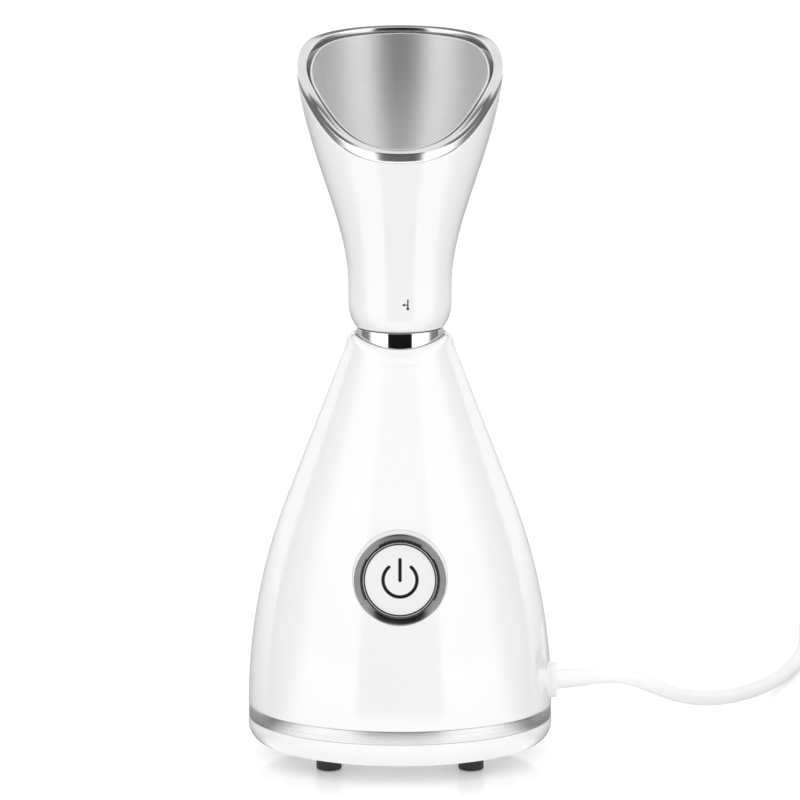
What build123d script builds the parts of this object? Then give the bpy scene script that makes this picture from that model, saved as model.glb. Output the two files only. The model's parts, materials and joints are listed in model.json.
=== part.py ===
from build123d import *
import os
from math import atan, cos, degrees, pi, radians, sin, sqrt, tan

# Facial steamer. Millimetres, +Z up, front towards -Y, origin on the floor at
# the middle of the base. The mains lead leaves the base towards +X.

# ---------------------------------------------------------------- sizes
# Base and body casing
base_radius = 55.0            # outer radius of the base pan, trim strip and casing foot
foot_height = 6.3             # clear height under the base pan
foot_radius = 4.65
foot_inset = 18.7             # foot centres, in from the base radius
pan_height = 8.9              # base pan, from its underside to the trim strip
pan_edge = 6.5                # rounding of the pan's lower edge
pan_floor = 2.4
pan_spigot_wall = 2.2
pan_spigot_rise = 6.5         # how far the pan's locating wall goes up inside the casing
strip_height = 4.9            # brushed trim strip between pan and casing
shell_wall = 2.4
casing_height = 135.9         # casing, from the trim strip to the top of its lip
lip_height = 4.4              # rounded lip at the top of the casing
lip_width = 3.7               # casing radius where the lip starts, beyond the neck ring
lip_dip = 3.1                 # how much lower the lip is in front and behind than at the sides
flank_bow = 1.39              # steepness of the upper cone against the straight chord

# Collar between casing and head
collar_radius = 15.8          # bright neck ring
collar_sink = 14.0            # depth of the neck ring inside the casing
collar_rise = 2.3             # part of the neck ring left showing
spigot_radius = 13.6          # spigot inside the neck ring, which the head turns on
spigot_wall = 2.2
spigot_rise = 15.7            # spigot above the neck ring
spigot_drop = 3.0             # spigot below the neck ring
oring_section = 1.8
lug_rise = 5.1                # underside of the turn lugs above the neck ring
lug_height = 3.2
lug_depth = 1.3
lug_width = 14.0              # degrees
turn_range = 45.0             # degrees that the head turns

# Head
head_height = 104.9           # head, from its lower face to the back of the mouth
head_bottom_radius = 15.9     # flat of the head's lower face
waist_radius = 18.65
waist_low = 8.9               # the straight waist runs between these heights
waist_high = 14.4
mouth_radius = 37.8
mouth_drop = 36.2             # how much lower the mouth is in front than behind
head_wall = 2.2
web_height = 17.4             # underside of the web that carries the liner
web_thickness = 4.0
trim_height = 4.3
trim_width = 3.7
liner_gap = 1.0               # dark gap between trim and liner
liner_wall = 0.8
nozzle_radius = 9.0
nozzle_wall = 1.4

# Water tank, boiler and heater
tank_floor_height = 91.0
tank_gap = 0.8
tank_wall = 1.6
seal_thickness = 1.5
seal_width = 4.5
boiler_radius = 16.4
boiler_wall = 1.8
boiler_height = 28.7
boiler_flange = 25.5
boiler_flange_thickness = 1.8
frame_ring_thickness = 2.5
frame_leg_radius = 3.2
frame_leg_circle = 21.8
heater_radius = 13.0
heater_thickness = 4.0
clamp_bar_thickness = 1.2
clamp_boss_radius = 3.0
steam_tube_radius = 4.5
steam_tube_wall = 1.2
steam_tube_flange = 0.8

# Power button
button_height = 74.4          # height of the button's centre on the casing
bezel_radius = 16.5
bezel_wall = 2.7
bezel_stand = 0.6             # how far the bezel stands proud of the casing
button_sink = 0.3
button_travel = 1.2
button_thickness = 3.2
housing_depth = 14.5          # depth of the switch housing behind the casing face
housing_wall = 1.5

# Circuit board and supply
board_height = 20.0
board_inset = 19.0            # circuit board, in from the base radius
board_thickness = 1.6
board_post_inset = 6.0        # screw posts, in from the board's edge
lead_height = 27.9            # where the lead leaves the casing
cord_diameter = 5.6
bush_flange_radius = 6.5
bush_flange_stand = 2.0
bush_groove_radius = 4.6
sleeve_length = 15.0          # tapered sleeve outside the bush flange
sleeve_heading = 20.0         # degrees that the sleeve points back from +X

# Screws
screw_radius = 1.2
screw_head_radius = 2.7
screw_head_height = 1.4
screw_length = 12.0

# Clearances
running_gap = 0.3             # between parts that move on each other
screw_gap = 0.3               # round a screw in a hole that it passes through
oring_squeeze_gap = 0.05
lip_gap = 0.4

# Turn directions of the repeated features, in degrees from +X
post_angles = (30, 150, 210, 330)
foot_angles = (45, 135, 225, 315)
leg_angles = (90, 210, 330)
board_angles = (30, 150, 270)

# ---------------------------------------------------------------- derived places
pan_top = foot_height + pan_height
casing_bottom = pan_top + strip_height
casing_top = casing_bottom + casing_height
lip_start = casing_top - lip_height
pan_inside = foot_height + pan_floor
spigot_outer = base_radius - shell_wall - 0.2
lip_radius = collar_radius + lip_width
flank_run = base_radius - lip_radius
flank_rise = lip_start - casing_bottom
flank_angle = flank_bow * atan(flank_run / flank_rise)
flank_arc = (tan(flank_angle) * flank_rise - flank_run) / (1 / cos(flank_angle) - 1)
collar_bottom = casing_top - collar_sink
collar_top = casing_top + collar_rise
head_bottom = collar_top + running_gap
head_top = head_bottom + head_height
socket_radius = collar_radius + oring_squeeze_gap + running_gap
boiler_top = tank_floor_height - seal_thickness - steam_tube_flange
boiler_bottom = boiler_top - boiler_height
frame_top = boiler_top - boiler_flange_thickness
frame_bottom = frame_top - frame_ring_thickness
heater_bottom = boiler_bottom - heater_thickness
boiler_screw_circle = boiler_flange - 3.5
post_circle = base_radius - 10.5
foot_circle = base_radius - foot_inset
board_radius = base_radius - board_inset
board_post_circle = board_radius - board_post_inset
board_top = board_height + board_thickness
bore_radius = spigot_radius + running_gap


def flank(height, inset=0.0):
    """Radius of the casing's side at a height, measured inset inside its face."""
    bend = flank_arc - inset
    if height < casing_bottom + bend * sin(flank_angle):
        return base_radius - flank_arc + sqrt(bend ** 2 - (height - casing_bottom) ** 2)
    straight = height - casing_bottom - bend * sin(flank_angle)
    return base_radius - flank_arc + bend * cos(flank_angle) - straight * tan(flank_angle)


def draw_flank(low, high, inset=0.0):
    """Draws the casing's side between two heights: an arc, then a straight cone."""
    joint = casing_bottom + (flank_arc - inset) * sin(flank_angle)
    if low < joint:
        end = min(joint, high)
        middle = (low + end) / 2
        ThreePointArc((flank(low, inset), low), (flank(middle, inset), middle), (flank(end, inset), end))
    if high > joint:
        start = max(joint, low)
        Line((flank(start, inset), start), (flank(high, inset), high))


def on_circle(radius, angle):
    return (radius * cos(radians(angle)), radius * sin(radians(angle)))


def disc(radius, bottom, top, places=((0, 0),), hole=0.0):
    """Upright discs, posts or rings, one at each place."""
    with BuildPart() as piece:
        with BuildSketch(Plane.XY.offset(bottom)):
            with Locations(*places):
                Circle(radius)
                if hole:
                    Circle(hole, mode=Mode.SUBTRACT)
        extrude(amount=top - bottom)
    return piece.part


def block(low, high):
    """An upright box between two corners."""
    with BuildPart() as piece:
        with BuildSketch(Plane.XY.offset(low[2])):
            with Locations(((low[0] + high[0]) / 2, (low[1] + high[1]) / 2)):
                Rectangle(high[0] - low[0], high[1] - low[1])
        extrude(amount=high[2] - low[2])
    return piece.part


def screws(places, head_bottom_z, head_up, length, shank=screw_radius):
    """Pan-head screws with cross recesses, heads up or heads down."""
    way = 1 if head_up else -1
    face = Plane.XY.offset(head_bottom_z)
    with BuildPart() as piece:
        with BuildSketch(face):
            with Locations(*places):
                Circle(screw_head_radius)
        extrude(amount=way * screw_head_height)
        with BuildSketch(face):
            with Locations(*places):
                Circle(shank)
        extrude(amount=-way * length)
        with BuildSketch(face.offset(way * screw_head_height)):
            with Locations(*places):
                Rectangle(2.6, 0.6)
                Rectangle(0.6, 2.6)
        extrude(amount=-way * 0.7, mode=Mode.SUBTRACT)
    return piece.part


def sector(outer, inner, start, sweep, bottom, top):
    """A piece of an upright ring, from one angle over a sweep in degrees."""
    with BuildPart() as piece:
        with BuildSketch(Plane.XY.offset(bottom)):
            with BuildLine():
                far = CenterArc((0, 0), outer, start, sweep)
                near = CenterArc((0, 0), inner, start, sweep)
                Line(far @ 0, near @ 0)
                Line(far @ 1, near @ 1)
            make_face()
        extrude(amount=top - bottom)
    return piece.part


def casing_envelope(inset):
    """The solid inside the casing's side, moved in by inset."""
    with BuildPart() as piece:
        with BuildSketch(Plane.XZ):
            with BuildLine():
                draw_flank(casing_bottom, lip_start, inset)
                Polyline(
                    (flank(lip_start, inset), lip_start),
                    (0, lip_start),
                    (0, casing_bottom),
                    (flank(casing_bottom, inset), casing_bottom),
                )
            make_face()
        revolve(axis=Axis.Z)
    return piece.part


# ---------------------------------------------------------------- base pan
pan_posts = [on_circle(board_post_circle, angle) for angle in board_angles]
base_posts = [on_circle(post_circle, angle) for angle in post_angles]
frame_legs = [on_circle(frame_leg_circle, angle) for angle in leg_angles]
foot_places = [on_circle(foot_circle, angle) for angle in foot_angles]
lead_seat = lead_height - cord_diameter / 2
clamp_x = board_radius + 4.0
clamp_half = 2.6
clamp_reach = 11.0
clamp_screw_places = [(clamp_x, -8.2), (clamp_x, 8.2)]
clamp_top = lead_height + 4.4
foot_spigot = foot_radius * 0.5
foot_barb = 1.0

with BuildPart() as base_pan:
    with BuildSketch(Plane.XZ):
        with BuildLine():
            flat = base_radius - pan_edge
            Line((0, foot_height), (flat, foot_height))
            RadiusArc((flat, foot_height), (base_radius, foot_height + pan_edge), -pan_edge)
            Polyline(
                (base_radius, foot_height + pan_edge),
                (base_radius, pan_top),
                (spigot_outer, pan_top),
                (spigot_outer, pan_top + pan_spigot_rise),
                (spigot_outer - pan_spigot_wall, pan_top + pan_spigot_rise),
                (spigot_outer - pan_spigot_wall, foot_height + pan_edge),
                (flat, pan_inside),
                (0, pan_inside),
                (0, foot_height),
            )
        make_face()
    revolve(axis=Axis.Z)
    with BuildSketch(Plane.XY.offset(pan_inside)):
        with Locations(*pan_posts):
            Circle(screw_radius + 1.6)
    extrude(amount=board_height - pan_inside)
    with BuildSketch(Plane.XY.offset(pan_inside)):
        with Locations((clamp_x, 0)):
            Rectangle(2 * clamp_half, 2 * clamp_reach)
    extrude(amount=lead_seat - pan_inside)
    with Locations(Plane.XY.offset(board_height)):
        with Locations(*pan_posts):
            Hole(screw_radius, depth=9)
    with Locations(Plane.XY.offset(lead_seat)):
        with Locations(*clamp_screw_places):
            Hole(screw_radius, depth=12)
    with BuildSketch(Plane.XY.offset(foot_height)):
        with Locations(*base_posts, *frame_legs):
            Circle(screw_radius + screw_gap)
        with Locations(*foot_places):
            Circle(foot_spigot)
    extrude(amount=pan_floor, mode=Mode.SUBTRACT)
    with BuildSketch(Plane.XY.offset(foot_height)):
        with Locations(*base_posts, *frame_legs):
            Circle(screw_head_radius + screw_gap)
    extrude(amount=screw_head_height, mode=Mode.SUBTRACT)

with BuildPart() as rubber_feet:
    with BuildSketch(Plane.XY):
        with Locations(*foot_places):
            Circle(foot_radius)
    extrude(amount=foot_height)
    chamfer(rubber_feet.edges().group_by(Axis.Z)[0], 0.6)
    with BuildSketch(Plane.XY.offset(foot_height)):
        with Locations(*foot_places):
            Circle(foot_spigot)
    extrude(amount=pan_floor)
    with BuildSketch(Plane.XY.offset(pan_inside)):
        with Locations(*foot_places):
            Circle(foot_spigot + 0.8)
    extrude(amount=foot_barb)

chrome_strip = disc(base_radius, pan_top, casing_bottom, hole=spigot_outer)

# ---------------------------------------------------------------- casing
button_tilt = degrees(
    flank_angle
    if button_height > casing_bottom + flank_arc * sin(flank_angle)
    else atan((button_height - casing_bottom) / sqrt(flank_arc ** 2 - (button_height - casing_bottom) ** 2))
)
outward = Vector(0, -cos(radians(button_tilt)), sin(radians(button_tilt)))
button_face = Plane(origin=(0, -flank(button_height), button_height), x_dir=(1, 0, 0), z_dir=outward)
post_top = casing_bottom + 41.0
lip_inner = collar_radius + lip_gap

shell_posts = disc(screw_radius + 2.4, pan_inside, post_top, base_posts)
with BuildPart() as shell_ribs:
    with BuildSketch(Plane.XY.offset(pan_top + pan_spigot_rise + 1.0)):
        for angle in post_angles:
            with Locations(Location((*on_circle(post_circle + 4.0, angle), 0), (0, 0, angle))):
                Rectangle(8.0, 1.8)
    extrude(amount=post_top - pan_top - pan_spigot_rise - 1.0)
ribs_inside = shell_ribs.part & casing_envelope(shell_wall / 2)
lip_level = lip_start - 2.1

# The lip is barrel-shaped: highest at the sides, lower in front and behind
dip_crest = casing_top + 0.3
dip_half = lip_radius + 6.0
dip_bend = lip_inner ** 2 / (2 * (lip_dip + 0.3))
dip_ends = dip_crest - dip_half ** 2 / (2 * dip_bend)
with BuildPart() as lip_cutter:
    with BuildSketch(Plane.YZ.offset(-dip_half)):
        with BuildLine():
            ThreePointArc((-dip_half, dip_ends), (0, dip_crest), (dip_half, dip_ends))
            Polyline(
                (dip_half, dip_ends),
                (dip_half, dip_crest + 5),
                (-dip_half, dip_crest + 5),
                (-dip_half, dip_ends),
            )
        make_face()
    extrude(amount=2 * dip_half)

with BuildPart() as body_shell:
    with BuildSketch(Plane.XZ):
        with BuildLine():
            draw_flank(casing_bottom, lip_start)
            ThreePointArc(
                (lip_radius, lip_start),
                (lip_radius - 0.75, lip_start + lip_height * 0.68),
                (lip_radius - 2.3, casing_top),
            )
            RadiusArc((lip_radius - 2.3, casing_top), (lip_inner, casing_top - 1.2), -1.25)
            Polyline(
                (lip_inner, casing_top - 1.2),
                (lip_inner, lip_level),
                (flank(lip_level, shell_wall), lip_level),
            )
            draw_flank(casing_bottom, lip_level, shell_wall)
            Line((base_radius - shell_wall, casing_bottom), (base_radius, casing_bottom))
        make_face()
    revolve(axis=Axis.Z)
    add(lip_cutter.part, mode=Mode.SUBTRACT)
    add(ribs_inside)
    add(shell_posts)
    with BuildSketch(Plane.XY.offset(pan_inside)):
        with Locations(*base_posts):
            Circle(screw_radius)
    extrude(amount=screw_length + 1.0, mode=Mode.SUBTRACT)
    with BuildSketch(button_face.offset(-12)):
        Circle(bezel_radius)
    extrude(amount=18, mode=Mode.SUBTRACT)
    with BuildSketch(Plane.YZ.offset(base_radius - 12)):
        with Locations((0, lead_height)):
            Circle(bush_groove_radius)
    extrude(amount=16, mode=Mode.SUBTRACT)

# ---------------------------------------------------------------- power button
proud_envelope = casing_envelope(-bezel_stand)
button_envelope = casing_envelope(button_sink)
bezel_inner = bezel_radius - bezel_wall
cap_radius = bezel_inner - running_gap
bezel_back = -6.5
housing_back = -housing_depth
board_back = housing_back + housing_wall
board_front = board_back + 1.4
switch_front = board_front + 3.6
stem_back = board_front + 1.0 + button_travel
stem_front = switch_front + button_travel
stem_radius = 1.75

with BuildPart() as button_bezel:
    with BuildSketch(button_face.offset(bezel_back)):
        Circle(bezel_radius)
        Circle(bezel_inner, mode=Mode.SUBTRACT)
    extrude(amount=3 - bezel_back)
    add(proud_envelope, mode=Mode.INTERSECT)

with BuildPart() as button_cap:
    with BuildSketch(button_face.offset(-button_thickness)):
        Circle(cap_radius)
    extrude(amount=button_thickness + 3)
    add(button_envelope, mode=Mode.INTERSECT)
    with BuildSketch(button_face.offset(-button_thickness)):
        Circle(cap_radius)
        Circle(cap_radius - 1.6, mode=Mode.SUBTRACT)
    extrude(amount=-2.2)
    with BuildSketch(button_face.offset(-button_thickness)):
        Circle(3.0)
    extrude(amount=stem_front + button_thickness)

with BuildPart() as switch_stem:
    with BuildSketch(button_face.offset(stem_back)):
        Circle(stem_radius)
    extrude(amount=stem_front - stem_back)

with BuildPart() as tact_switch:
    with BuildSketch(button_face.offset(board_front)):
        Rectangle(6.2, 6.2)
    extrude(amount=switch_front - board_front)
    with BuildSketch(button_face.offset(board_front + 0.8)):
        Circle(stem_radius + running_gap)
    extrude(amount=switch_front - board_front, mode=Mode.SUBTRACT)

with BuildPart() as switch_board:
    with BuildSketch(button_face.offset(board_back)):
        Circle(bezel_radius - housing_wall)
    extrude(amount=board_front - board_back)

with BuildPart() as switch_housing:
    with BuildSketch(button_face.offset(housing_back)):
        Circle(bezel_radius)
    extrude(amount=bezel_back - housing_back)
    with BuildSketch(button_face.offset(board_back)):
        Circle(bezel_radius - housing_wall)
    extrude(amount=bezel_back - board_back, mode=Mode.SUBTRACT)
    with BuildSketch(button_face.offset(housing_back)):
        Circle(screw_radius)
    extrude(amount=housing_wall, mode=Mode.SUBTRACT)

# ---------------------------------------------------------------- water tank and boiler
boiler_screw_places = [on_circle(boiler_screw_circle, angle) for angle in board_angles]
tank_inset = shell_wall + tank_gap
socket_outer = socket_radius + 1.5
tank_floor_top = tank_floor_height + 2.0
ledge_top = collar_bottom - running_gap
ledge_bottom = ledge_top - 1.5
ledge_radius = spigot_radius + 0.8
tank_shoulder = ledge_bottom - 3.2
tank_roof = tank_shoulder - tank_wall
throat_radius = boiler_radius - boiler_wall
tank_boss_top = tank_floor_top + 7.0

with BuildPart() as water_tank:
    with BuildSketch(Plane.XZ):
        with BuildLine():
            draw_flank(tank_floor_height, tank_shoulder, tank_inset)
            Polyline(
                (flank(tank_shoulder, tank_inset), tank_shoulder),
                (socket_outer, ledge_bottom + 0.4),
                (socket_outer, collar_bottom + 6.0),
                (socket_radius, collar_bottom + 6.0),
                (socket_radius, ledge_top),
                (ledge_radius, ledge_top),
                (ledge_radius, ledge_bottom),
                (flank(tank_roof, tank_inset + tank_wall), tank_roof),
            )
            draw_flank(tank_floor_top, tank_roof, tank_inset + tank_wall)
            Polyline(
                (flank(tank_floor_top, tank_inset + tank_wall), tank_floor_top),
                (throat_radius, tank_floor_top),
                (throat_radius, tank_floor_height),
                (flank(tank_floor_height, tank_inset), tank_floor_height),
            )
        make_face()
    revolve(axis=Axis.Z)
    with BuildSketch(Plane.XY.offset(tank_floor_height)):
        with Locations(*boiler_screw_places):
            Circle(screw_radius + 2.0)
    extrude(amount=tank_boss_top - tank_floor_height)
    with BuildSketch(Plane.XY.offset(tank_floor_height)):
        with Locations(*boiler_screw_places):
            Circle(screw_radius)
    extrude(amount=6.0, mode=Mode.SUBTRACT)

tank_seal = disc(throat_radius + seal_width, tank_floor_height - seal_thickness, tank_floor_height,
                 hole=throat_radius)

with BuildPart() as steam_tube:
    with BuildSketch(Plane.XY.offset(boiler_top)):
        Circle(throat_radius + seal_width - 0.6)
        with PolarLocations(throat_radius * 0.68, 6):
            Circle(2.0, mode=Mode.SUBTRACT)
    extrude(amount=steam_tube_flange)
    with BuildSketch(Plane.XY.offset(boiler_top - 8.0)):
        Circle(steam_tube_radius)
    extrude(amount=collar_bottom + 4.0 - boiler_top + 8.0)
    with BuildSketch(Plane.XY.offset(boiler_top - 8.0)):
        Circle(steam_tube_radius - steam_tube_wall)
    extrude(amount=collar_bottom + 4.0 - boiler_top + 8.0, mode=Mode.SUBTRACT)

clamp_boss_x = boiler_radius + clamp_boss_radius - 1.0
clamp_bosses = [(-clamp_boss_x, 0), (clamp_boss_x, 0)]

with BuildPart() as boiler_cup:
    with BuildSketch(Plane.XY.offset(boiler_bottom)):
        Circle(boiler_radius)
    extrude(amount=boiler_height)
    with BuildSketch(Plane.XY.offset(frame_top)):
        Circle(boiler_flange)
    extrude(amount=boiler_flange_thickness)
    with BuildSketch(Plane.XY.offset(heater_bottom)):
        with Locations(*clamp_bosses):
            Circle(clamp_boss_radius)
    extrude(amount=heater_thickness + 10.0)
    with BuildSketch(Plane.XY.offset(boiler_bottom + 2.2)):
        Circle(throat_radius)
    extrude(amount=boiler_height, mode=Mode.SUBTRACT)
    with BuildSketch(Plane.XY.offset(frame_top)):
        with Locations(*boiler_screw_places):
            Circle(screw_radius + screw_gap)
    extrude(amount=boiler_flange_thickness, mode=Mode.SUBTRACT)
    with BuildSketch(Plane.XY.offset(heater_bottom)):
        with Locations(*clamp_bosses):
            Circle(screw_radius)
    extrude(amount=11.0, mode=Mode.SUBTRACT)

with BuildPart() as inner_frame:
    with BuildSketch(Plane.XY.offset(frame_bottom)):
        Circle(boiler_flange)
        Circle(boiler_radius + 0.6, mode=Mode.SUBTRACT)
        with Locations(*boiler_screw_places):
            Circle(screw_radius + screw_gap, mode=Mode.SUBTRACT)
    extrude(amount=frame_ring_thickness)
    with BuildSketch(Plane.XY.offset(pan_inside)):
        with Locations(*frame_legs):
            Circle(frame_leg_radius)
    extrude(amount=frame_bottom - pan_inside)
    with BuildSketch(Plane.XY.offset(pan_inside)):
        with Locations(*frame_legs):
            Circle(screw_radius)
    extrude(amount=screw_length + 1.0, mode=Mode.SUBTRACT)

heater_plate = disc(heater_radius, heater_bottom, boiler_bottom)

clamp_bar_bottom = heater_bottom - clamp_bar_thickness
with BuildPart() as heater_clamp:
    with BuildSketch(Plane.XY.offset(clamp_bar_bottom)):
        SlotCenterToCenter(2 * clamp_boss_x, 7.0)
        with Locations(*clamp_bosses):
            Circle(screw_radius + screw_gap, mode=Mode.SUBTRACT)
    extrude(amount=clamp_bar_thickness)

with BuildPart() as thermostat:
    with BuildSketch(Plane.XZ.offset(throat_radius)):
        with Locations((0, boiler_bottom + 14.0)):
            Circle(6.2)
    extrude(amount=7.0)
    with BuildSketch(Plane.XZ.offset(throat_radius + 7.0)):
        with Locations((-3.2, boiler_bottom + 14.0), (3.2, boiler_bottom + 14.0)):
            Rectangle(0.8, 4.0)
    extrude(amount=3.5)
    with BuildSketch(Plane.XY.offset(boiler_bottom)):
        Circle(boiler_radius)
    extrude(amount=boiler_height, mode=Mode.SUBTRACT)

fuse_radius = 2.0
thermal_fuse = disc(
    fuse_radius, boiler_bottom + 6.0, boiler_bottom + 18.0, [on_circle(boiler_radius + fuse_radius, 150)]
)

# ---------------------------------------------------------------- circuit board
with BuildPart() as circuit_board:
    with BuildSketch(Plane.XY.offset(board_height)):
        Circle(board_radius)
        with Locations(*frame_legs):
            Circle(frame_leg_radius + 0.6, mode=Mode.SUBTRACT)
        with Locations(*pan_posts):
            Circle(screw_radius + screw_gap, mode=Mode.SUBTRACT)
    extrude(amount=board_thickness)

relay = block((-20, 3, board_top), (-6, 19, board_top + 13))
filter_capacitor = block((6, 10, board_top), (22, 18, board_top + 14))
terminal_face = 32.5
with BuildPart() as terminal_block:
    with BuildSketch(Plane.XY.offset(board_top)):
        with Locations((terminal_face - 4.5, 1)):
            Rectangle(9, 16)
    extrude(amount=lead_height + 4.0 - board_top)
    with BuildSketch(Plane.XY.offset(lead_height + 4.0)):
        with Locations((terminal_face - 4.5, -4), (terminal_face - 4.5, 1), (terminal_face - 4.5, 6)):
            Circle(1.6)
    extrude(amount=-1.5, mode=Mode.SUBTRACT)
connector_y = -23.0
switch_connector = block((-4, connector_y - 3, board_top), (4, connector_y + 3, board_top + 6.5))
with BuildPart() as board_fuse:
    with BuildSketch(Plane.YZ.offset(-8)):
        with Locations((-12.5, board_top + 2.6)):
            Circle(2.6)
    extrude(amount=16)

# Leads inside the casing
wire_radius = 0.9
heater_leads = disc(wire_radius, board_top, heater_bottom, [(0, -9), (0, 9)])
lead_start = Vector(0, -flank(button_height), button_height) - outward * housing_depth
lead_turn = lead_start - outward * 5.0
lead_fall = Vector(0, connector_y, board_top + 18.0)
with BuildPart() as switch_lead:
    with BuildLine():
        FilletPolyline(lead_start, lead_turn, lead_fall, (0, connector_y, board_top + 6.5), radius=3.0)
    with BuildSketch(Plane(origin=lead_start, z_dir=-outward)):
        Circle(screw_radius - 0.1)
    sweep()

# ---------------------------------------------------------------- lead entry
bush_inner = base_radius - 11.0
bush_outer = base_radius + bush_flange_stand
groove_inner = flank(lead_height, shell_wall) - 0.6
with BuildPart() as supply_lead:
    with BuildSketch(Plane.YZ.offset(terminal_face)):
        with Locations((0, lead_height)):
            Circle(cord_diameter / 2)
    extrude(amount=bush_inner - terminal_face)

with BuildPart() as cord_clamp:
    with BuildSketch(Plane.XY.offset(lead_seat)):
        with Locations((clamp_x, 0)):
            Rectangle(2 * clamp_half, 2 * clamp_reach)
    extrude(amount=clamp_top - lead_seat)
    with BuildSketch(Plane.YZ.offset(clamp_x - clamp_half)):
        with Locations((0, lead_height)):
            Circle(cord_diameter / 2)
        with Locations((0, lead_height - cord_diameter / 4)):
            Rectangle(cord_diameter, cord_diameter / 2)
    extrude(amount=2 * clamp_half, mode=Mode.SUBTRACT)
    with BuildSketch(Plane.XY.offset(lead_seat)):
        with Locations(*clamp_screw_places):
            Circle(screw_radius + screw_gap)
    extrude(amount=clamp_top - lead_seat, mode=Mode.SUBTRACT)

sleeve_way = Vector(cos(radians(sleeve_heading)), sin(radians(sleeve_heading)), 0)
sleeve_root = Vector(bush_outer - 2.0, 0, lead_height)
sleeve_tip = sleeve_root + sleeve_way * sleeve_length
sleeve_plane = Plane(origin=sleeve_root, z_dir=sleeve_way)

with BuildPart() as bush_flange:
    with BuildSketch(Plane.YZ.offset(groove_inner)):
        with Locations((0, lead_height)):
            Circle(bush_flange_radius)
    extrude(amount=bush_outer - groove_inner)
    fillet(bush_flange.edges().sort_by(Axis.X)[-1], 0.6)
flange_outside = bush_flange.part - casing_envelope(0)
with BuildPart() as cord_bush:
    add(flange_outside)
    with BuildSketch(Plane.YZ.offset(bush_inner)):
        with Locations((0, lead_height)):
            Circle(bush_groove_radius)
    extrude(amount=bush_outer - 1.0 - bush_inner)
    with BuildSketch(Plane.YZ.offset(groove_inner - 2.0)):
        with Locations((0, lead_height)):
            Circle(bush_groove_radius + 1.0)
    extrude(amount=2.0)
    with BuildSketch(sleeve_plane):
        Circle(cord_diameter / 2 + 0.9)
    with BuildSketch(sleeve_plane.offset(sleeve_length)):
        Circle(cord_diameter / 2 + 0.25)
    loft()

# ---------------------------------------------------------------- neck, which lifts out
spigot_bottom = collar_bottom - spigot_drop
spigot_top = collar_top + spigot_rise
lug_bottom = collar_top + lug_rise
groove_middle = collar_bottom + 4.0
groove_depth = 1.5

with BuildPart() as neck_ring:
    with BuildSketch(Plane.XY.offset(collar_bottom)):
        Circle(collar_radius)
        Circle(spigot_radius, mode=Mode.SUBTRACT)
    extrude(amount=collar_top - collar_bottom)
    with BuildSketch(Plane.XY.offset(groove_middle - oring_section * 0.55)):
        Circle(collar_radius + 1)
        Circle(collar_radius - groove_depth, mode=Mode.SUBTRACT)
    extrude(amount=oring_section * 1.1, mode=Mode.SUBTRACT)

oring_outer = socket_radius - oring_squeeze_gap
with BuildPart() as neck_oring:
    with BuildSketch(Plane.XZ):
        with Locations((oring_outer - oring_section / 2, groove_middle)):
            Circle(oring_section / 2)
    revolve(axis=Axis.Z)

lugs = [
    sector(spigot_radius + lug_depth, spigot_radius - 1, side - lug_width / 2, lug_width, lug_bottom,
           lug_bottom + lug_height)
    for side in (0, 180)
]
with BuildPart() as neck_spigot:
    with BuildSketch(Plane.XY.offset(spigot_bottom)):
        Circle(spigot_radius)
    extrude(amount=spigot_top - spigot_bottom)
    add(lugs)
    with BuildSketch(Plane.XY.offset(spigot_bottom)):
        Circle(spigot_radius - spigot_wall)
    extrude(amount=spigot_top - spigot_bottom, mode=Mode.SUBTRACT)

# ---------------------------------------------------------------- head
# Height and widening of the flare, as shares of its height and of its widening
flare_shape = ((0.0, 0.0), (0.24, 0.17), (0.47, 0.51), (0.70, 0.83), (1.0, 1.0))
# Slope of the mouth from front to back, as shares of its radius and of its drop
mouth_shape = ((-1.15, 0.0), (-0.78, 0.03), (-0.64, 0.16), (-0.42, 0.45), (0.0, 0.72), (0.25, 0.838),
               (0.48, 0.925), (0.70, 0.965), (0.90, 0.986), (1.10, 1.0))
flare_bottom = head_bottom + waist_high
web_bottom = head_bottom + web_height
web_top = web_bottom + web_thickness
far_out = mouth_radius + 30.0


def flare_points(inset):
    height = head_top - flare_bottom
    widening = mouth_radius - waist_radius
    return [(waist_radius + out * widening - inset, flare_bottom + up * height) for up, out in flare_shape]


def above_mouth(drop):
    """Everything above the sloping mouth, lowered by drop."""
    front = head_top - mouth_drop - drop
    with BuildPart() as piece:
        with BuildSketch(Plane.YZ.offset(-far_out)):
            with BuildLine():
                slope = Spline(*[(y * mouth_radius, front + up * mouth_drop) for y, up in mouth_shape])
                Polyline(slope @ 1, (slope @ 1) + (0, 60), (slope @ 0) + (0, 60 + mouth_drop), slope @ 0)
            make_face()
        extrude(amount=2 * far_out)
    return piece.part


def flared_ring(outer_inset, inner_inset):
    """A flaring ring between two insets from the head's face, from the waist up."""
    with BuildPart() as piece:
        with BuildSketch(Plane.XZ):
            with BuildLine():
                outer = Spline(*flare_points(outer_inset), tangents=[(0, 1), (0, 1)])
                inner = Spline(*flare_points(inner_inset), tangents=[(0, 1), (0, 1)])
                Line(outer @ 0, inner @ 0)
                Line(outer @ 1, inner @ 1)
            make_face()
        revolve(axis=Axis.Z)
    return piece.part


trim_cutter = above_mouth(trim_height)
mouth_cutter = above_mouth(0)
liner_inset = trim_width + liner_gap
hub_slots = [
    sector(spigot_radius + lug_depth + running_gap, spigot_radius - 1, side - lug_width / 2 - 1.5,
           lug_width + turn_range + 3.0, lug_bottom - running_gap, lug_bottom + lug_height + running_gap)
    for side in (0, 180)
]
upper_ring = flared_ring(0, head_wall)

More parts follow.
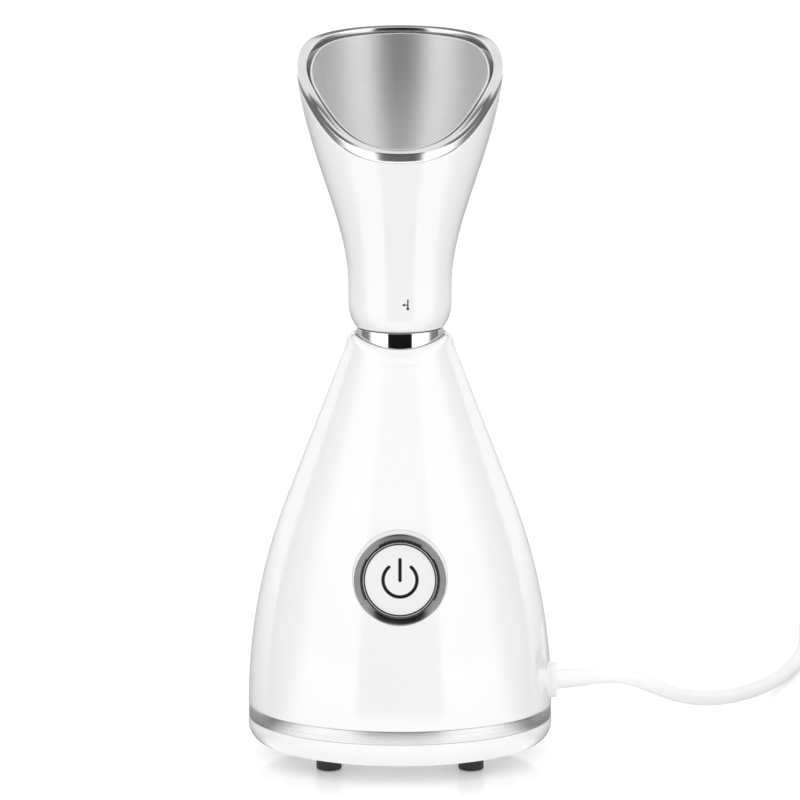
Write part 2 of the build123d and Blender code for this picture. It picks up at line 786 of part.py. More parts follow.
with BuildPart() as head_shell:
    with BuildSketch(Plane.XZ):
        with BuildLine():
            Polyline(
                (waist_radius, flare_bottom),
                (0, flare_bottom),
                (0, head_bottom),
                (head_bottom_radius, head_bottom),
            )
            Spline(
                (head_bottom_radius, head_bottom),
                (waist_radius, head_bottom + waist_low),
                tangents=[(1, 0.25), (0, 1)],
            )
            Line((waist_radius, head_bottom + waist_low), (waist_radius, flare_bottom))
        make_face()
    revolve(axis=Axis.Z)
    add(upper_ring)
    with BuildSketch(Plane.XY.offset(flare_bottom - 0.5)):
        Circle(waist_radius - head_wall / 2)
    extrude(amount=web_top - flare_bottom + 0.5)
    with BuildSketch(Plane.XY.offset(head_bottom)):
        Circle(bore_radius)
    extrude(amount=web_bottom - head_bottom, mode=Mode.SUBTRACT)
    with BuildSketch(Plane.XY.offset(web_bottom)):
        Circle(nozzle_radius)
    extrude(amount=web_thickness, mode=Mode.SUBTRACT)
    add(hub_slots, mode=Mode.SUBTRACT)
    add(trim_cutter, mode=Mode.SUBTRACT)

trim_band = flared_ring(0, trim_width)
with BuildPart() as head_trim:
    add(trim_band)
    add(trim_cutter, mode=Mode.INTERSECT)
    add(mouth_cutter, mode=Mode.SUBTRACT)

liner_band = flared_ring(liner_inset, liner_inset + liner_wall)
liner_cutter = above_mouth(0.8)
liner_floor_space = block((-far_out, -far_out, head_bottom), (far_out, far_out, web_top))
liner_pan = disc(waist_radius - liner_inset + 1.2, web_top, web_top + liner_wall, hole=nozzle_radius)
with BuildPart() as head_liner:
    add(liner_band)
    add(liner_floor_space, mode=Mode.SUBTRACT)
    add(liner_pan)
    add(liner_cutter, mode=Mode.SUBTRACT)

nozzle_top = web_top + liner_wall + 1.6
with BuildPart() as steam_nozzle:
    with BuildSketch(Plane.XY.offset(web_bottom + 0.4)):
        Circle(nozzle_radius)
    extrude(amount=nozzle_top - web_bottom - 0.4)
    with BuildSketch(Plane.XY.offset(web_top + liner_wall)):
        Circle(nozzle_radius + 1.6)
    extrude(amount=nozzle_top - web_top - liner_wall)
    fillet(steam_nozzle.edges().sort_by(Axis.Z)[-1], 1.2)
    with BuildSketch(Plane.XY.offset(web_bottom + 0.4)):
        Circle(nozzle_radius - nozzle_wall)
    extrude(amount=nozzle_top - 1.6 - web_bottom - 0.4, mode=Mode.SUBTRACT)
    with BuildSketch(Plane.XY.offset(nozzle_top - 1.6)):
        Circle(1.3)
        with PolarLocations(4.8, 6):
            Circle(1.5)
    extrude(amount=1.6, mode=Mode.SUBTRACT)

# ---------------------------------------------------------------- mains cord, coil and plug
floor_level = cord_diameter / 2 + 0.2
route = [
    tuple(sleeve_tip),
    tuple(sleeve_tip + sleeve_way * 9.9),
    (86.6, 13.2, 25.2),
    (93.6, 19.6, 21.0),
    (100.0, 27.6, 17.0),
    (106.2, 37.0, 13.6),
    (112.4, 47.4, 10.9),
    (118.6, 58.6, 8.9),
    (124.6, 71.0, 7.3),
    (130.4, 84.6, 6.0),
    (136.0, 99.6, 4.9),
    (141.2, 115.6, 4.0),
    (145.8, 132.6, 3.3),
    (149.6, 150.4, floor_level),
    (152.6, 169.0, floor_level),
    (154.6, 187.0, floor_level),
    (155.4, 200.0, floor_level),
    (155.4, 212.5, floor_level),
]
coil_centre = (192.0, 215.0)
coil_inner = 22.4
coil_outer = 39.7
coil_bottom = 1.1
coil_top = 11.8
tail = [
    (225.9, 212.0, 8.7),
    (226.6, 199.0, 8.2),
    (227.4, 187.0, 7.2),
]


def corner_radii(points):
    """The largest arc for each corner of a route: 0.45 of its shorter run."""
    radii = []
    for before, corner, after in zip(points, points[1:], points[2:]):
        arriving, leaving = Vector(*corner) - Vector(*before), Vector(*after) - Vector(*corner)
        half_turn = radians(arriving.get_angle(leaving)) / 2
        radii.append(0.45 * min(arriving.length, leaving.length) / tan(half_turn))
    return radii


def cord_tube(points):
    radii = corner_radii(points)
    print("cord radii", [round(radius, 1) for radius in radii])
    with BuildPart() as piece:
        with BuildLine() as path:
            FilletPolyline(*points, radius=radii)
        with BuildSketch(Plane(origin=points[0], z_dir=path.line % 0)):
            Circle(cord_diameter / 2)
        sweep()
    length = path.wires()[0].length
    print("cord length", round(length, 1), "volume ratio",
          round(piece.part.volume / (pi * cord_diameter ** 2 / 4 * length), 5))
    return piece.part


mains_cord = cord_tube(route)
cord_tail = cord_tube(tail)

with BuildPart() as cord_coil:
    with BuildSketch(Plane.XY.offset(coil_bottom)):
        with Locations(coil_centre):
            Circle(coil_outer)
            Circle(coil_inner, mode=Mode.SUBTRACT)
    extrude(amount=coil_top - coil_bottom)
    fillet(cord_coil.edges(), 2.2)

tie_gap = 0.1
tie_thickness = 0.9
tie_width = 7.0
tie_y = coil_centre[1] - (coil_inner + coil_outer) / 2
tie_half = (coil_outer - coil_inner) / 2 + 0.7
with BuildPart() as cord_tie:
    with BuildSketch(Plane.YZ.offset(coil_centre[0] - tie_width / 2)):
        with Locations((tie_y, (coil_bottom + coil_top) / 2)):
            RectangleRounded(
                2 * (tie_half + tie_gap + tie_thickness),
                coil_top - coil_bottom + 2 * (tie_gap + tie_thickness),
                2.8,
            )
            RectangleRounded(2 * (tie_half + tie_gap), coil_top - coil_bottom + 2 * tie_gap, 1.9,
                             mode=Mode.SUBTRACT)
    extrude(amount=tie_width)

# Two-pin plug, lying on the floor with its pins towards -Y
pin_radius = 2.0
pin_spacing = 18.6
pin_length = 19.0
plug_width = 33.0
plug_thickness = 13.7
plug_length = 35.0
plug_x, relief_y, plug_z = tail[-1]
relief_length = 22.0
plug_back = relief_y - relief_length
plug_front = plug_back - plug_length
plug_outline = [
    (-plug_width / 2, plug_front),
    (plug_width / 2, plug_front),
    (plug_width / 2, plug_front + plug_length * 0.34),
    (plug_width / 2 - 4.5, plug_front + plug_length * 0.62),
    (6.5, plug_back),
    (-6.5, plug_back),
    (-plug_width / 2 + 4.5, plug_front + plug_length * 0.62),
    (-plug_width / 2, plug_front + plug_length * 0.34),
]

with BuildPart() as plug_body:
    with BuildSketch(Plane.XY.offset(plug_z - plug_thickness / 2)):
        with Locations((plug_x, 0)):
            Polygon(*plug_outline, align=None)
    extrude(amount=plug_thickness)
    fillet(plug_body.edges().filter_by(Axis.Z), 2.0)
    chamfer(plug_body.faces().sort_by(Axis.Z)[-1].edges(), 1.6)
    chamfer(plug_body.faces().sort_by(Axis.Z)[0].edges(), 1.6)
    relief_plane = Plane(origin=(plug_x, plug_back - 2.0, plug_z), z_dir=(0, 1, 0))
    with BuildSketch(relief_plane):
        Circle(5.2)
    with BuildSketch(relief_plane.offset(relief_length + 2.0)):
        Circle(cord_diameter / 2 + 0.5)
    loft()

with BuildPart() as plug_pins:
    with BuildSketch(Plane.XZ.offset(-plug_front)):
        with Locations((plug_x - pin_spacing / 2, plug_z), (plug_x + pin_spacing / 2, plug_z)):
            Circle(pin_radius)
    extrude(amount=pin_length)
    chamfer(plug_pins.edges().group_by(Axis.Y)[0], 0.8)

# ---------------------------------------------------------------- screws
board_screws = screws(pan_posts, board_top, True, board_thickness + 8.0)
base_screws = screws(base_posts, foot_height + screw_head_height, False, screw_length)
frame_screws = screws(frame_legs, foot_height + screw_head_height, False, screw_length)
boiler_screws = screws(boiler_screw_places, frame_bottom, False, tank_floor_height - frame_bottom + 5.0)
heater_screws = screws(clamp_bosses, clamp_bar_bottom, False, heater_thickness + clamp_bar_thickness + 6.0)
clamp_screws = screws(clamp_screw_places, clamp_top, True, clamp_top - lead_seat + 10.0)

# ---------------------------------------------------------------- pieces
pieces = {
    "base_pan": base_pan.part,
    "rubber_feet": rubber_feet.part,
    "chrome_strip": chrome_strip,
    "body_shell": body_shell.part,
    "base_screws": base_screws,
    "inner_frame": inner_frame.part,
    "frame_screws": frame_screws,
    "water_tank": water_tank.part,
    "tank_seal": tank_seal,
    "boiler_cup": boiler_cup.part,
    "boiler_screws": boiler_screws,
    "steam_tube": steam_tube.part,
    "heater_plate": heater_plate,
    "heater_clamp": heater_clamp.part,
    "heater_screws": heater_screws,
    "heater_leads": heater_leads,
    "thermostat": thermostat.part,
    "thermal_fuse": thermal_fuse,
    "circuit_board": circuit_board.part,
    "board_screws": board_screws,
    "relay": relay,
    "filter_capacitor": filter_capacitor,
    "board_fuse": board_fuse.part,
    "terminal_block": terminal_block.part,
    "switch_connector": switch_connector,
    "switch_lead": switch_lead.part,
    "switch_housing": switch_housing.part,
    "switch_board": switch_board.part,
    "tact_switch": tact_switch.part,
    "switch_stem": switch_stem.part,
    "button_bezel": button_bezel.part,
    "button_cap": button_cap.part,
    "neck_ring": neck_ring.part,
    "neck_spigot": neck_spigot.part,
    "neck_oring": neck_oring.part,
    "head_shell": head_shell.part,
    "head_trim": head_trim.part,
    "head_liner": head_liner.part,
    "steam_nozzle": steam_nozzle.part,
    "supply_lead": supply_lead.part,
    "cord_clamp": cord_clamp.part,
    "clamp_screws": clamp_screws,
    "cord_bush": cord_bush.part,
    "mains_cord": mains_cord,
    "cord_coil": cord_coil.part,
    "cord_tie": cord_tie.part,
    "cord_tail": cord_tail,
    "plug_body": plug_body.part,
    "plug_pins": plug_pins.part,
}
os.makedirs("parts", exist_ok=True)
for name, piece in pieces.items():
    piece.label = name
    export_step(piece, f"parts/{name}.step")
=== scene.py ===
import bpy
import bmesh
import json
import numpy as np
from math import atan, cos, hypot, pi, radians, sin, sqrt, tan
from mathutils import Matrix, Vector


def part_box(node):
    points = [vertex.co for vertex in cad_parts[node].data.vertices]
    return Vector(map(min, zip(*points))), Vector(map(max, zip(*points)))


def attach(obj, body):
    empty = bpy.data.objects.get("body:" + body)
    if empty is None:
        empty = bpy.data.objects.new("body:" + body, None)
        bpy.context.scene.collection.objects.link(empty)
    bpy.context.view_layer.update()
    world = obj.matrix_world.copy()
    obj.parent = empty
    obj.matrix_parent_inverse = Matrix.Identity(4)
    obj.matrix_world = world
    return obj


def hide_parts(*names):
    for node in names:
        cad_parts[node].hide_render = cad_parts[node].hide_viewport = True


# Looks of a facial steamer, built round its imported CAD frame. Metres, +Z up, front -Y.
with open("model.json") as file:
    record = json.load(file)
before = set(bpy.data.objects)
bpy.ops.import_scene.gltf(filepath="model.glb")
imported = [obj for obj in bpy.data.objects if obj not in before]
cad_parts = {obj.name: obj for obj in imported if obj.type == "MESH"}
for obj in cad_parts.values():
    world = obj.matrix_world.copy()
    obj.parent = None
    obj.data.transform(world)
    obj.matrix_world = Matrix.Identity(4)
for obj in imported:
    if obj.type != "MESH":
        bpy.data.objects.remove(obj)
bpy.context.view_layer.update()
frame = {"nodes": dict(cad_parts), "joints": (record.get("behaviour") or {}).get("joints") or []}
MM = 0.001
ROUND = 192                    # columns round a turned piece

# ---------------------------------------------------------------- sizes from the frame
shell_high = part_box("body_shell")[1]
pan_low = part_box("base_pan")[0]
strip_low, strip_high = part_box("chrome_strip")
head_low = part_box("head_shell")[0]
ring_low, ring_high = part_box("neck_ring")
bush_low, bush_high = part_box("cord_bush")
plug_low, plug_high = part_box("plug_body")
pins_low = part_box("plug_pins")[0]
coil_low, coil_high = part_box("cord_coil")

# ---------------------------------------------------------------- camera and cord facts
LENS = 500
SENSOR = 36
VIEW_WIDTH = 0.2895            # width of the picture at the object
CAMERA_RISE = radians(10.4)
AIM = Vector((0, 0, 0.1312))


def add_camera():
    data = bpy.data.cameras.new("camera")
    data.lens = LENS
    data.sensor_width = SENSOR
    data.clip_end = 50
    camera = bpy.data.objects.new("camera", data)
    bpy.context.scene.collection.objects.link(camera)
    away = VIEW_WIDTH * LENS / SENSOR
    camera.location = AIM + Vector((0, -cos(CAMERA_RISE), sin(CAMERA_RISE))) * away
    camera.rotation_euler = (pi / 2 - CAMERA_RISE, 0, 0)
    bpy.context.scene.camera = camera


add_camera()

CORD_DIAMETER = 5.6 * MM
cord_floor = 3.0               # height of the lead's middle where it lies down, in mm
cord_route = [
    (69.095, 5.130, 27.9),
    (78.398, 8.516, 27.9),
    (86.6, 13.2, 25.2),
    (93.6, 19.6, 21.0),
    (100.0, 27.6, 17.0),
    (106.2, 37.0, 13.6),
    (112.4, 47.4, 10.9),
    (118.6, 58.6, 8.9),
    (124.6, 71.0, 7.3),
    (130.4, 84.6, 6.0),
    (136.0, 99.6, 4.9),
    (141.2, 115.6, 4.0),
    (145.8, 132.6, 3.3),
    (149.6, 150.4, cord_floor),
    (152.6, 169.0, cord_floor),
    (154.6, 187.0, cord_floor),
    (155.3, 200.0, cord_floor),
]
cord_tail = [
    (225.9, 212.0, 8.7),
    (226.6, 199.0, 8.2),
    (227.4, 187.0, 7.2),
]


# ---------------------------------------------------------------- mesh helpers
def new_object(name, vertices, faces, material, sharp=35):
    """A smooth-shaded mesh object whose faces all look outwards."""
    mesh = bpy.data.meshes.new(name)
    mesh.from_pydata([tuple(v) for v in vertices], [], faces)
    shaped = bmesh.new()
    shaped.from_mesh(mesh)
    bmesh.ops.remove_doubles(shaped, verts=shaped.verts, dist=1e-7)
    bmesh.ops.recalc_face_normals(shaped, faces=shaped.faces)
    shaped.to_mesh(mesh)
    shaped.free()
    mesh.shade_smooth()
    mesh.set_sharp_from_angle(angle=radians(sharp))
    mesh.materials.append(material)
    made = bpy.data.objects.new(name, mesh)
    bpy.context.scene.collection.objects.link(made)
    return made


def rounded(corners, steps=5):
    """A closed outline of (r, z, radius) corners in mm, each rounded by its radius, as (r, z) points."""
    points = []
    count = len(corners)
    for i, (x, z, radius) in enumerate(corners):
        here = Vector((x, z))
        before = Vector(corners[i - 1][:2])
        after = Vector(corners[(i + 1) % count][:2])
        if radius <= 0:
            points.append((x, z))
            continue
        back, ahead = (before - here), (after - here)
        opening = back.angle(ahead)
        reach = min(radius / tan(opening / 2), 0.49 * back.length, 0.49 * ahead.length)
        start = here + back.normalized() * reach
        end = here + ahead.normalized() * reach
        for step in range(steps + 1):
            t = step / steps
            points.append(tuple(start * (1 - t) ** 2 + here * (2 * t * (1 - t)) + end * t ** 2))
    return points


def grid_faces(columns, rows, first=0):
    """Quads of a closed tube of columns, each a closed loop of rows points."""
    faces = []
    for c in range(columns):
        beside = (c + 1) % columns
        for r in range(rows):
            above = (r + 1) % rows
            faces.append((first + c * rows + r, first + beside * rows + r,
                          first + beside * rows + above, first + c * rows + above))
    return faces


def turned(name, outline_at, material, columns=ROUND, sharp=35, place=None):
    """A turned piece about +Z: outline_at(angle) gives its closed outline in mm. place moves it."""
    vertices = []
    rows = 0
    for c in range(columns):
        angle = 2 * pi * c / columns
        outline = outline_at(angle)
        rows = len(outline)
        for r, z in outline:
            spot = Vector((r * cos(angle), r * sin(angle), z)) * MM
            vertices.append(place @ spot if place else spot)
    return new_object(name, vertices, grid_faces(columns, rows), material, sharp)


def joined(name, objects):
    """Several objects' meshes as one piece."""
    mesh = bpy.data.meshes.new(name)
    gathered = bmesh.new()
    for each in objects:
        gathered.from_mesh(each.data)
    gathered.to_mesh(mesh)
    gathered.free()
    mesh.materials.append(objects[0].data.materials[0])
    for each in objects:
        bpy.data.objects.remove(each)
    made = bpy.data.objects.new(name, mesh)
    bpy.context.scene.collection.objects.link(made)
    return made


def cut(target, cutters):
    """Cuts closed meshes out of a piece and keeps the result as its own mesh."""
    for cutter in cutters:
        change = target.modifiers.new("cut", "BOOLEAN")
        change.operation = "DIFFERENCE"
        change.solver = "EXACT"
        change.object = cutter
    bpy.context.view_layer.update()
    evaluated = target.evaluated_get(bpy.context.evaluated_depsgraph_get())
    mesh = bpy.data.meshes.new_from_object(evaluated)
    target.modifiers.clear()
    target.data = mesh
    for cutter in cutters:
        bpy.data.objects.remove(cutter)
    mesh.set_sharp_from_angle(angle=radians(35))


def clamped_curve(xs, ys, start_slope=None, end_slope=None):
    """A smooth cubic through points: natural at its ends, or with the slopes given."""
    xs, ys = np.array(xs, float), np.array(ys, float)
    n = len(xs)
    h = np.diff(xs)
    matrix, right = np.zeros((n, n)), np.zeros(n)
    for i in range(1, n - 1):
        matrix[i, i - 1:i + 2] = 1 / h[i - 1], 2 * (1 / h[i - 1] + 1 / h[i]), 1 / h[i]
        right[i] = 3 * ((ys[i] - ys[i - 1]) / h[i - 1] ** 2 + (ys[i + 1] - ys[i]) / h[i] ** 2)
    if start_slope is None:
        matrix[0, :2], right[0] = (2, 1), 3 * (ys[1] - ys[0]) / h[0]
    else:
        matrix[0, 0], right[0] = 1, start_slope
    if end_slope is None:
        matrix[-1, -2:], right[-1] = (1, 2), 3 * (ys[-1] - ys[-2]) / h[-1]
    else:
        matrix[-1, -1], right[-1] = 1, end_slope
    slopes = np.linalg.solve(matrix, right)

    def value(x):
        i = int(min(max(np.searchsorted(xs, x) - 1, 0), n - 2))
        t = (x - xs[i]) / h[i]
        a, b = slopes[i] * h[i], slopes[i + 1] * h[i]
        return float((2 * t ** 3 - 3 * t ** 2 + 1) * ys[i] + (t ** 3 - 2 * t ** 2 + t) * a
                     + (3 * t ** 2 - 2 * t ** 3) * ys[i + 1] + (t ** 3 - t ** 2) * b)
    return value


# ---------------------------------------------------------------- materials
def node_material(name):
    material = bpy.data.materials.new(name)
    material.use_nodes = True
    tree = material.node_tree
    shader = tree.nodes["Principled BSDF"]
    place = tree.nodes.new("ShaderNodeTexCoord").outputs["Object"]
    return material, tree, shader, place


def noise(tree, place, scale, detail=3.0, stretch=None):
    node = tree.nodes.new("ShaderNodeTexNoise")
    node.inputs["Scale"].default_value = scale
    node.inputs["Detail"].default_value = detail
    if stretch:
        shaper = tree.nodes.new("ShaderNodeMapping")
        shaper.inputs["Scale"].default_value = stretch
        tree.links.new(place, shaper.inputs["Vector"])
        place = shaper.outputs["Vector"]
    tree.links.new(place, node.inputs["Vector"])
    return node.outputs["Fac"]


def spread(tree, value, low, high):
    """A noise value mapped to a range."""
    node = tree.nodes.new("ShaderNodeMapRange")
    node.inputs["From Min"].default_value = 0.3
    node.inputs["From Max"].default_value = 0.7
    node.inputs["To Min"].default_value = low
    node.inputs["To Max"].default_value = high
    tree.links.new(value, node.inputs["Value"])
    return node.outputs["Result"]


def tint(tree, value, dark, light):
    ramp = tree.nodes.new("ShaderNodeValToRGB")
    ramp.color_ramp.elements[0].position = 0.3
    ramp.color_ramp.elements[1].position = 0.7
    ramp.color_ramp.elements[0].color = (*dark, 1)
    ramp.color_ramp.elements[1].color = (*light, 1)
    tree.links.new(value, ramp.inputs["Fac"])
    return ramp.outputs["Color"]


def bump(tree, shader, value, distance, strength=1.0):
    node = tree.nodes.new("ShaderNodeBump")
    node.inputs["Distance"].default_value = distance
    node.inputs["Strength"].default_value = strength
    tree.links.new(value, node.inputs["Height"])
    tree.links.new(node.outputs["Normal"], shader.inputs["Normal"])


def plastic(name, light, dark, rough=(0.12, 0.2), grain=900, depth=0.00001, coat=0.0):
    material, tree, shader, place = node_material(name)
    broad = noise(tree, place, 22)
    fine = noise(tree, place, grain, 2)
    tree.links.new(tint(tree, broad, dark, light), shader.inputs["Base Color"])
    tree.links.new(spread(tree, broad, *rough), shader.inputs["Roughness"])
    shader.inputs["Coat Weight"].default_value = coat
    shader.inputs["Coat Roughness"].default_value = 0.06
    bump(tree, shader, fine, depth)
    return material


def metal(name, light, dark, rough, stretch=None, scale=60, depth=0.000004):
    material, tree, shader, place = node_material(name)
    streaks = noise(tree, place, scale, 6, stretch)
    tree.links.new(tint(tree, streaks, dark, light), shader.inputs["Base Color"])
    tree.links.new(spread(tree, streaks, *rough), shader.inputs["Roughness"])
    shader.inputs["Metallic"].default_value = 1.0
    bump(tree, shader, streaks, depth)
    return material


white_gloss = plastic("white_gloss", (0.85, 0.85, 0.854), (0.842, 0.842, 0.846), (0.10, 0.16),
                      260, 0.000001, 0.6)
white_button = plastic("white_button", (0.80, 0.80, 0.805), (0.785, 0.785, 0.79), (0.2, 0.28), 900, 0.000004)
white_rubber = plastic("white_rubber", (0.9, 0.9, 0.9), (0.87, 0.87, 0.87), (0.38, 0.5), 1500, 0.00001)
white_matte = plastic("white_matte", (0.82, 0.82, 0.81), (0.76, 0.76, 0.75), (0.4, 0.55), 1200, 0.00001)
tank_plastic = plastic("tank_plastic", (0.80, 0.86, 0.90), (0.74, 0.82, 0.87), (0.1, 0.2), 300, 0.000004)
black_rubber = plastic("black_rubber", (0.022, 0.022, 0.022), (0.012, 0.012, 0.012), (0.5, 0.7),
                       2500, 0.00003)
black_plastic = plastic("black_plastic", (0.022, 0.022, 0.023), (0.012, 0.012, 0.013), (0.3, 0.45),
                        2200, 0.00002)
black_print = plastic("black_print", (0.006, 0.006, 0.006), (0.003, 0.003, 0.003), (0.35, 0.45),
                      2000, 0.000002)
board_green = plastic("board_green", (0.03, 0.22, 0.08), (0.02, 0.16, 0.05), (0.3, 0.45), 800, 0.00001)
part_yellow = plastic("part_yellow", (0.72, 0.48, 0.06), (0.62, 0.4, 0.04), (0.25, 0.35), 800, 0.00001)
part_blue = plastic("part_blue", (0.05, 0.17, 0.5), (0.03, 0.12, 0.4), (0.3, 0.45), 800, 0.00001)
wire_red = plastic("wire_red", (0.5, 0.03, 0.02), (0.4, 0.02, 0.02), (0.35, 0.5), 800, 0.00001)
ceramic = plastic("ceramic", (0.68, 0.63, 0.55), (0.6, 0.55, 0.47), (0.5, 0.7), 900, 0.00003)
chrome = metal("chrome", (0.86, 0.86, 0.87), (0.82, 0.82, 0.83), (0.04, 0.07), None, 90, 0.000001)
trim_chrome = metal("trim_chrome", (0.84, 0.84, 0.85), (0.79, 0.79, 0.80), (0.15, 0.2), None, 90, 0.000001)
liner_steel = metal("liner_steel", (0.86, 0.86, 0.865), (0.84, 0.84, 0.845), (0.46, 0.50),
                    (1, 1, 20), 30, 0.000001)
dark_chrome = metal("dark_chrome", (0.25, 0.25, 0.255), (0.22, 0.22, 0.225), (0.2, 0.26), None, 120, 0.000002)
brushed_ring = metal("brushed_ring", (0.74, 0.74, 0.75), (0.58, 0.58, 0.59), (0.22, 0.36),
                     (1, 1, 60), 30, 0.00001)
satin_steel = metal("satin_steel", (0.70, 0.70, 0.71), (0.64, 0.64, 0.65), (0.26, 0.36),
                    (1, 1, 26), 60, 0.000005)
aluminium = metal("aluminium", (0.7, 0.7, 0.71), (0.56, 0.56, 0.57), (0.35, 0.55), None, 300, 0.00003)
nickel = metal("nickel", (0.74, 0.72, 0.68), (0.68, 0.66, 0.62), (0.12, 0.22), None, 400, 0.000004)

# ---------------------------------------------------------------- casing outline
strip_top = strip_high.z / MM
base_radius = strip_high.x / MM
casing_top = shell_high.z / MM
LIP_RADIUS = 19.5
LIP_HEIGHT = 4.4
LIP_INNER = 16.2
LIP_BEND = LIP_INNER ** 2 / (2 * 3.4)    # bend of the barrel-shaped lip, 3.1 mm lower in front
SHELL_WALL = 2.4
FLANK_BOW = 1.39
lip_start = casing_top - LIP_HEIGHT
flank_rise, flank_run = lip_start - strip_top, base_radius - LIP_RADIUS
flank_angle = FLANK_BOW * atan(flank_run / flank_rise)
flank_arc = (tan(flank_angle) * flank_rise - flank_run) / (1 / cos(flank_angle) - 1)


def flank(z, inset=0.0):
    """Radius of the casing's side at a height in mm, inset inside its face."""
    bend = flank_arc - inset
    joint = bend * sin(flank_angle)
    if z < strip_top + joint:
        return base_radius - flank_arc + sqrt(bend ** 2 - (z - strip_top) ** 2)
    return base_radius - flank_arc + bend * cos(flank_angle) - (z - strip_top - joint) * tan(flank_angle)


def arc_points(centre, radius, start, end, steps):
    return [(centre[0] + radius * cos(start + (end - start) * i / steps),
             centre[1] + radius * sin(start + (end - start) * i / steps)) for i in range(steps + 1)]


def lip_dip(radius, angle):
    """How far the barrel-shaped lip lies below its sides, in front and behind."""
    return max(0.0, (radius * sin(angle)) ** 2 / (2 * LIP_BEND) - 0.3)


def casing_outline(angle):
    edge = 0.45
    side_steps = 76
    outline = [(base_radius - edge, strip_top), (base_radius - edge * 0.35, strip_top + edge * 0.12),
               (base_radius - 0.03, strip_top + edge * 0.5)]
    for i in range(side_steps + 1):
        z = strip_top + edge + (lip_start - strip_top - edge) * i / side_steps
        z -= lip_dip(LIP_RADIUS, angle) * max(0.0, (z - lip_start + 14) / 14) ** 1.5
        outline.append((flank(z), z))
    shoulder = clamped_curve([0, 0.4, 0.75, 1.0], [LIP_RADIUS, LIP_RADIUS - 0.55, LIP_RADIUS - 1.3,
                                                   LIP_RADIUS - 2.4], -1.2, -5.0)
    wider = flank(lip_start - lip_dip(LIP_RADIUS, angle)) - LIP_RADIUS
    for t in (0.15, 0.3, 0.45, 0.6, 0.75, 0.87, 0.95):
        radius = shoulder(t) + wider * (1 - t)
        outline.append((radius, lip_start + (LIP_HEIGHT - 0.15) * sin(pi / 2 * t) - lip_dip(radius, angle)))
    inner_bend = LIP_RADIUS - 2.4 - LIP_INNER
    outline += [(r, z - lip_dip(r, angle)) for r, z in
                arc_points((LIP_INNER + inner_bend, casing_top - inner_bend), inner_bend, pi / 2, pi, 7)]
    lip_level = lip_start - 2.1
    outline += [(LIP_INNER, lip_level + 0.3), (LIP_INNER + 0.3, lip_level),
                (flank(lip_level, SHELL_WALL), lip_level)]
    for i in range(1, 25):
        z = lip_level + (strip_top - lip_level) * i / 24
        outline.append((flank(z, SHELL_WALL), z))
    return outline


# ---------------------------------------------------------------- button seat
bezel_low, bezel_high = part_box("button_bezel")
BUTTON_HEIGHT = 74.4
BEZEL_RADIUS = (bezel_high.x - bezel_low.x) / 2 / MM
BEZEL_WALL = 2.7
CAP_RADIUS = BEZEL_RADIUS - BEZEL_WALL - 0.3
press = next(j for j in frame["joints"] if j["name"] == "power_button_press")
seat_out = -Vector(press["axis"]).normalized()
seat_side = Vector((1, 0, 0))
seat_up = seat_out.cross(seat_side).normalized()
seat_origin = Vector((0, -flank(BUTTON_HEIGHT), BUTTON_HEIGHT))
seat_place = Matrix.Translation(seat_origin * MM) @ Matrix((
    (seat_side.x, seat_up.x, seat_out.x, 0),
    (seat_side.y, seat_up.y, seat_out.y, 0),
    (seat_side.z, seat_up.z, seat_out.z, 0),
    (0, 0, 0, 1),
))


def seat_depth(x, y, inset=0.0):
    """How far out of the seat's plane the casing's face lies, at x, y in the seat, in mm."""
    depth = -(x * x) / (2 * base_radius)
    for _ in range(14):
        spot = seat_origin + seat_side * x + seat_up * y + seat_out * depth
        depth -= hypot(spot.x, spot.y) - flank(spot.z, inset)
    return depth


def seat_ring(name, profile, material, columns=160, sharp=35, shift=0.0):
    """A ring in the button's seat. profile gives (radius, height above the casing's face) points."""
    vertices = []
    for c in range(columns):
        angle = 2 * pi * c / columns
        for radius, height in profile:
            x, y = radius * cos(angle), radius * sin(angle) + shift
            vertices.append(seat_place @ (Vector((x, y, seat_depth(x, y) + height)) * MM))
    return new_object(name, vertices, grid_faces(columns, len(profile)), material, sharp)


# ---------------------------------------------------------------- casing, pan, strip, feet
body = turned("casing", casing_outline, white_gloss)
hole_profile = [(BEZEL_RADIUS - 0.02, -9.0), (BEZEL_RADIUS - 0.02, 4.0), (0.0, 4.0), (0.0, -9.0)]
hole = turned("hole", lambda a: hole_profile, white_gloss, 96, place=seat_place)
pocket = seat_ring("pocket", [(14.0, -0.4), (17.15, -0.4), (17.45, 1.5), (14.0, 1.5)],
                   white_gloss, 120, 35, 0.95)
cut(body, [hole, pocket])
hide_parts("body_shell")
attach(body, "base")

pan_top = strip_low.z / MM
strip_outline = rounded([
    (base_radius - 2.5, pan_top, 0.1), (base_radius - 0.1, pan_top, 0.3),
    (base_radius - 0.1, strip_top, 0.3), (base_radius - 2.5, strip_top, 0.1),
])
strip = turned("trim_strip", lambda a: strip_outline, brushed_ring, 256)
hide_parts("chrome_strip")
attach(strip, "base")

foot_centre_radius = base_radius - 18.7
foot_radius = 4.65
foot_top = pan_low.z / MM
foot_outline = rounded([
    (0.0, 0.0, 0), (foot_radius - 1.5, 0.0, 0.4), (foot_radius - 1.3, 0.35, 0.1),
    (foot_radius - 0.1, 0.35, 0.9),
    (foot_radius, foot_top - 0.9, 0.4), (foot_radius - 0.35, foot_top - 0.05, 0.2), (0.0, foot_top - 0.02, 0),
])
feet = []
for angle in (45, 135, 225, 315):
    turned_by = radians(angle)
    spot = Vector((foot_centre_radius * cos(turned_by), foot_centre_radius * sin(turned_by), 0)) * MM
    feet.append(turned("foot", lambda a: foot_outline, black_rubber, 64, place=Matrix.Translation(spot)))
feet = joined("feet", feet)
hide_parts("rubber_feet")
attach(feet, "base")

